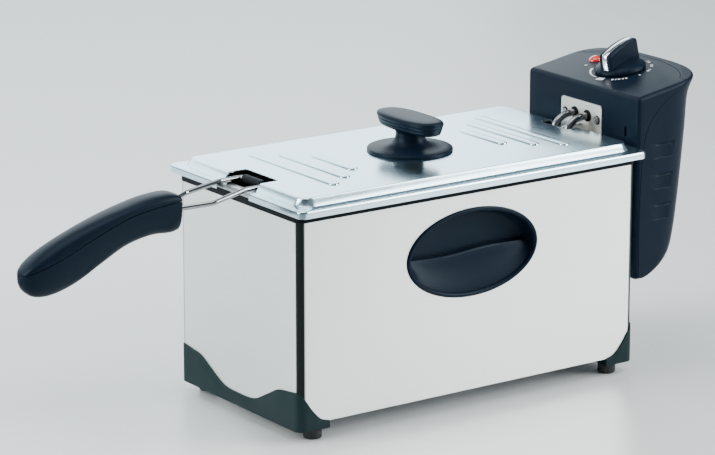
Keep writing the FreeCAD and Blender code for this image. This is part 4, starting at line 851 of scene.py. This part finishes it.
# ---- basket handle -------------------------------------------------------------------------------
wire = [(-164.5, 7, 207.5), (-164.5, 19, 207.5), (-187, 19, 207.5), (-219.5, 21.5, 201.5), (-248, 8.5, 198),
        (-310, 8.5, 187)]
wire += [(x, -y, z) for x, y, z in reversed(wire)]
wire_path = bend_path(wire, [4, 12, 10, 10, 6, 6, 10, 10, 12, 4])
piece("handle_wire", Shape().tube(wire_path, 2.25, 16), "wire_chrome", "basket_handle", "handle_wires",
      angle=50)

# (distance back, lowest height, highest height, half width) along the grip
STATIONS = [(-244.0, 178.5, 209.5, 13.0), (-252, 177, 212, 14), (-272, 177.6, 211, 14.5),
            (-297, 172.2, 205.9, 14.5), (-320, 161, 200, 14.5), (-345, 148.2, 192, 14.5),
            (-368, 141.6, 182.6, 14), (-384, 142.4, 173.4, 12), (-392.5, 148.5, 166, 8),
            (-396, 154.5, 160.5, 2.5)]
# (distance back, height) of the joint between the grip's shells
GRIP_JOINT = [(-404.0, 160.0), (-392, 163), (-360, 174.3), (-328, 187.6), (-296, 198.9), (-263, 204),
              (-232, 205)]


def grip_ring(x, low, high, half):
    """Section of the grip: a full round belly, and above the joint an upright band under a shallow crown."""
    joint = min(max(through(GRIP_JOINT, x), low + 0.3 * (high - low)), high - 0.15 * (high - low))
    band = min(4.2, 0.45 * (high - joint))
    points = []
    for k in range(13):
        turn = math.pi / 2 * k / 12
        points.append((half * math.sin(turn) ** 0.7, joint - (joint - low) * math.cos(turn) ** 0.8))
    brow, crown = half - 0.35, joint + band
    points += [(half + 0.1, joint + 0.3 * band), (half - 0.1, joint + 0.8 * band), (brow, crown)]
    for k in range(1, 12):
        turn = math.pi / 2 * k / 11
        points.append((brow * math.cos(turn) ** 0.85, crown + (high - crown) * math.sin(turn)))
    points[-1] = (0.0, high)
    near = [Vector((x, -y, z)) for y, z in points]
    return near + [Vector((x, y, z)) for y, z in reversed(points[1:-1])]


def grip_column(x):
    values = [through([(-sx, station[k]) for sx, *station in STATIONS], -x) for k in range(3)]
    return grip_ring(x, *values)


grip_xs = [-245.5 - 2.4 * k for k in range(57)]
grip_xs += [-382.2, -384.2, -386.2, -388, -389.6, -391, -392.3, -393.4, -394.3, -395.0, -395.5, -395.8]
grip_form = Shape().rings([grip_ring(-244.0, 181.0, 207.5, 11.0), grip_ring(-244.5, 179.3, 209.1, 12.6)]
                          + [grip_column(x) for x in grip_xs] + [grip_ring(-396.2, 156.5, 159.5, 1.2)])
for name, node, side in (("handle_top", "grip_top", 1), ("handle_bottom", "grip_bottom", -1)):
    half = make_object(name, grip_form)
    joint = [(x, through(GRIP_JOINT, x) + 0.4 * side) for x in [-404 + 4 * k for k in range(44)]]
    area = [Vector((x, -30, z)) for x, z in joint]
    area += [Vector((joint[-1][0], -30, 206 + 60 * side)), Vector((joint[0][0], -30, 160 + 106 * side))]
    carve(half, Shape().rings([area, [Vector((p.x, 30, p.z)) for p in area]]), "INTERSECT")
    if side < 0:
        for x, seat in ((-290, 180.2), (-355, 149.6)):
            carve(half, Shape().lathe([(3.3, seat - 30), (3.3, seat)], (x, 0), 24))
    finish_piece(half, "grip_plastic", "basket_handle", node, angle=34)

# ---- basket --------------------------------------------------------------------------------------
BASKET_X0, BASKET_X1, BASKET_Y, BASKET_LOW, BASKET_TOP = -158.0, 155.0, 66.0, 60.0, 196.5
WEAVE = 0.5


def mesh_loop(corners):
    """One bent wire of the mesh, from rim to rim."""
    return bend_path(corners, 4.0, steps=4)


mesh_wires = Shape()
for k in range(47):
    x = BASKET_X0 + 4 + (BASKET_X1 - BASKET_X0 - 8) * k / 46
    y, z = BASKET_Y - 0.6, BASKET_LOW + 0.55
    mesh_wires.tube(mesh_loop([(x, -y, BASKET_TOP), (x, -y, z), (x, y, z), (x, y, BASKET_TOP)]), WEAVE, 6)
for k in range(19):
    y = -BASKET_Y + 4 + (2 * BASKET_Y - 8) * k / 18
    x0, x1, z = BASKET_X0 + 0.6, BASKET_X1 - 0.6, BASKET_LOW + 0.65
    mesh_wires.tube(mesh_loop([(x0, y, BASKET_TOP), (x0, y, z), (x1, y, z), (x1, y, BASKET_TOP)]), WEAVE, 6)
middle, half_length = (BASKET_X0 + BASKET_X1) / 2, (BASKET_X1 - BASKET_X0) / 2


def basket_ring(outset, z, corner):
    return rounded_ring(half_length + outset, BASKET_Y + outset, corner, z, middle, 5)


for k in range(20):
    mesh_wires.tube(basket_ring(-0.6, BASKET_LOW + 6 + 6.55 * k, 4.0), WEAVE, 6, looped=True)
piece("woven_mesh", mesh_wires, "wire_chrome", "basket", "basket_mesh", angle=60)
hoop = Shape().tube(basket_ring(-0.6, 197.6, 6.0), 2.2, 16, looped=True)
piece("basket_hoop", hoop, "wire_chrome", "basket", "basket_rim", angle=50)
STIRRUP_Y, STIRRUP_LOW, STIRRUP_TOP = 67.5, 58.5, 194.9
stirrups = Shape()
for x in (-88, 85):
    path = [(x, -STIRRUP_Y, STIRRUP_TOP), (x, -STIRRUP_Y, STIRRUP_LOW), (x, STIRRUP_Y, STIRRUP_LOW),
            (x, STIRRUP_Y, STIRRUP_TOP)]
    stirrups.tube(bend_path(path, 1.6), 1.5, 14)
piece("stirrups", stirrups, "wire_chrome", "basket", "basket_frame", angle=50)
hook = [(-159.6, -18, 186), (-159.6, -18, 132), (-167.5, -18, 120), (-167.5, 18, 120), (-159.6, 18, 132),
        (-159.6, 18, 186)]
hook_wire = Shape().tube(bend_path(hook, [4, 3, 3, 4]), 1.5, 14)
piece("hook_wire", hook_wire, "wire_chrome", "basket", "drain_hook", angle=50)

# ---- finishes of the CAD nodes that stay in view -------------------------------------------------
KEPT = {
    "sheet_zinc": ("base_plate", "grip_retainers", "head_guide", "thermostat_frame", "cutout_bracket",
                   "sensor_clip", "thermostat", "lid_knob_washer"),
    "screw_steel": ("foot_screws", "guide_screws", "interlock_pin", "cover_screws", "plate_screws",
                    "sensor_bulb", "element_straps", "bracket_rivets", "grip_screws", "lid_knob_screw",
                    "thermostat_shaft"),
    "rim_plastic": ("handle_bracket",),
    "black_plastic": ("head_runners", "cord_gland"),
    "terminal_ceramic": ("terminal_block",),
    "brass_part": ("terminal_screws",),
    "switch_plastic": ("microswitch", "thermal_cutout"),
    "lamp_glass": ("indicator_lamp",),
    "reset_plastic": ("reset_button",),
}
for look, names in KEPT.items():
    for name in names:
        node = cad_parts[name]
        node.data.materials.clear()
        node.data.materials.append(LOOKS[look])

# ---- room, light and camera ----------------------------------------------------------------------
floor_mesh = bpy.data.meshes.new("floor")
floor_mesh.from_pydata([(-20, -20, 0), (20, -20, 0), (20, 20, 0), (-20, 20, 0)], [], [(0, 1, 2, 3)])
floor = bpy.data.objects.new("floor", floor_mesh)
bpy.context.scene.collection.objects.link(floor)
floor.data.materials.append(surface("floor_pale", (0.72, 0.735, 0.74), 0.36, 0.0, 0.02, (6, 6, 6), 0.01, 0.0))

world = bpy.data.worlds.new("studio")
bpy.context.scene.world = world
world.use_nodes = True
world.node_tree.nodes["Background"].inputs["Color"].default_value = (0.66, 0.8, 0.92, 1)
world.node_tree.nodes["Background"].inputs["Strength"].default_value = 0.24


def softbox(name, spot, aim, size, power, tint=(1, 1, 1)):
    data = bpy.data.lights.new(name, "AREA")
    data.shape, data.size, data.size_y, data.energy, data.color = "RECTANGLE", size[0], size[1], power, tint
    lamp = bpy.data.objects.new(name, data)
    bpy.context.scene.collection.objects.link(lamp)
    lamp.location = spot
    lamp.rotation_euler = (Vector(aim) - Vector(spot)).to_track_quat("-Z", "Y").to_euler()


softbox("light_left", (-2.6, 0.9, 1.5), (0, 0, 0.1), (1.8, 2.2), 125, (0.97, 1.0, 0.98))
softbox("light_right", (2.4, -2.2, 1.5), (0, 0, 0.1), (2.0, 1.8), 148, (0.98, 1.0, 0.99))
softbox("light_back", (0.55, 2.9, 1.3), (0.55, 0, 0.2), (4.1, 1.9), 80, (0.84, 0.95, 1.0))
softbox("light_top", (-0.3, 0.3, 2.9), (0, 0, 0), (2.0, 2.0), 45)
softbox("light_slope", (1.5, -0.7, 2.2), (0, 0, 0.2), (1.0, 1.0), 25)

camera = bpy.data.objects.new("camera", bpy.data.cameras.new("camera"))
bpy.context.scene.collection.objects.link(camera)
bpy.context.scene.camera = camera
camera.location = (-1.64085, -2.3338, 0.9197)
camera.rotation_euler = (math.radians(74.912), 0, math.radians(-35.135))
camera.data.sensor_width, camera.data.lens = 36.0, 169.9
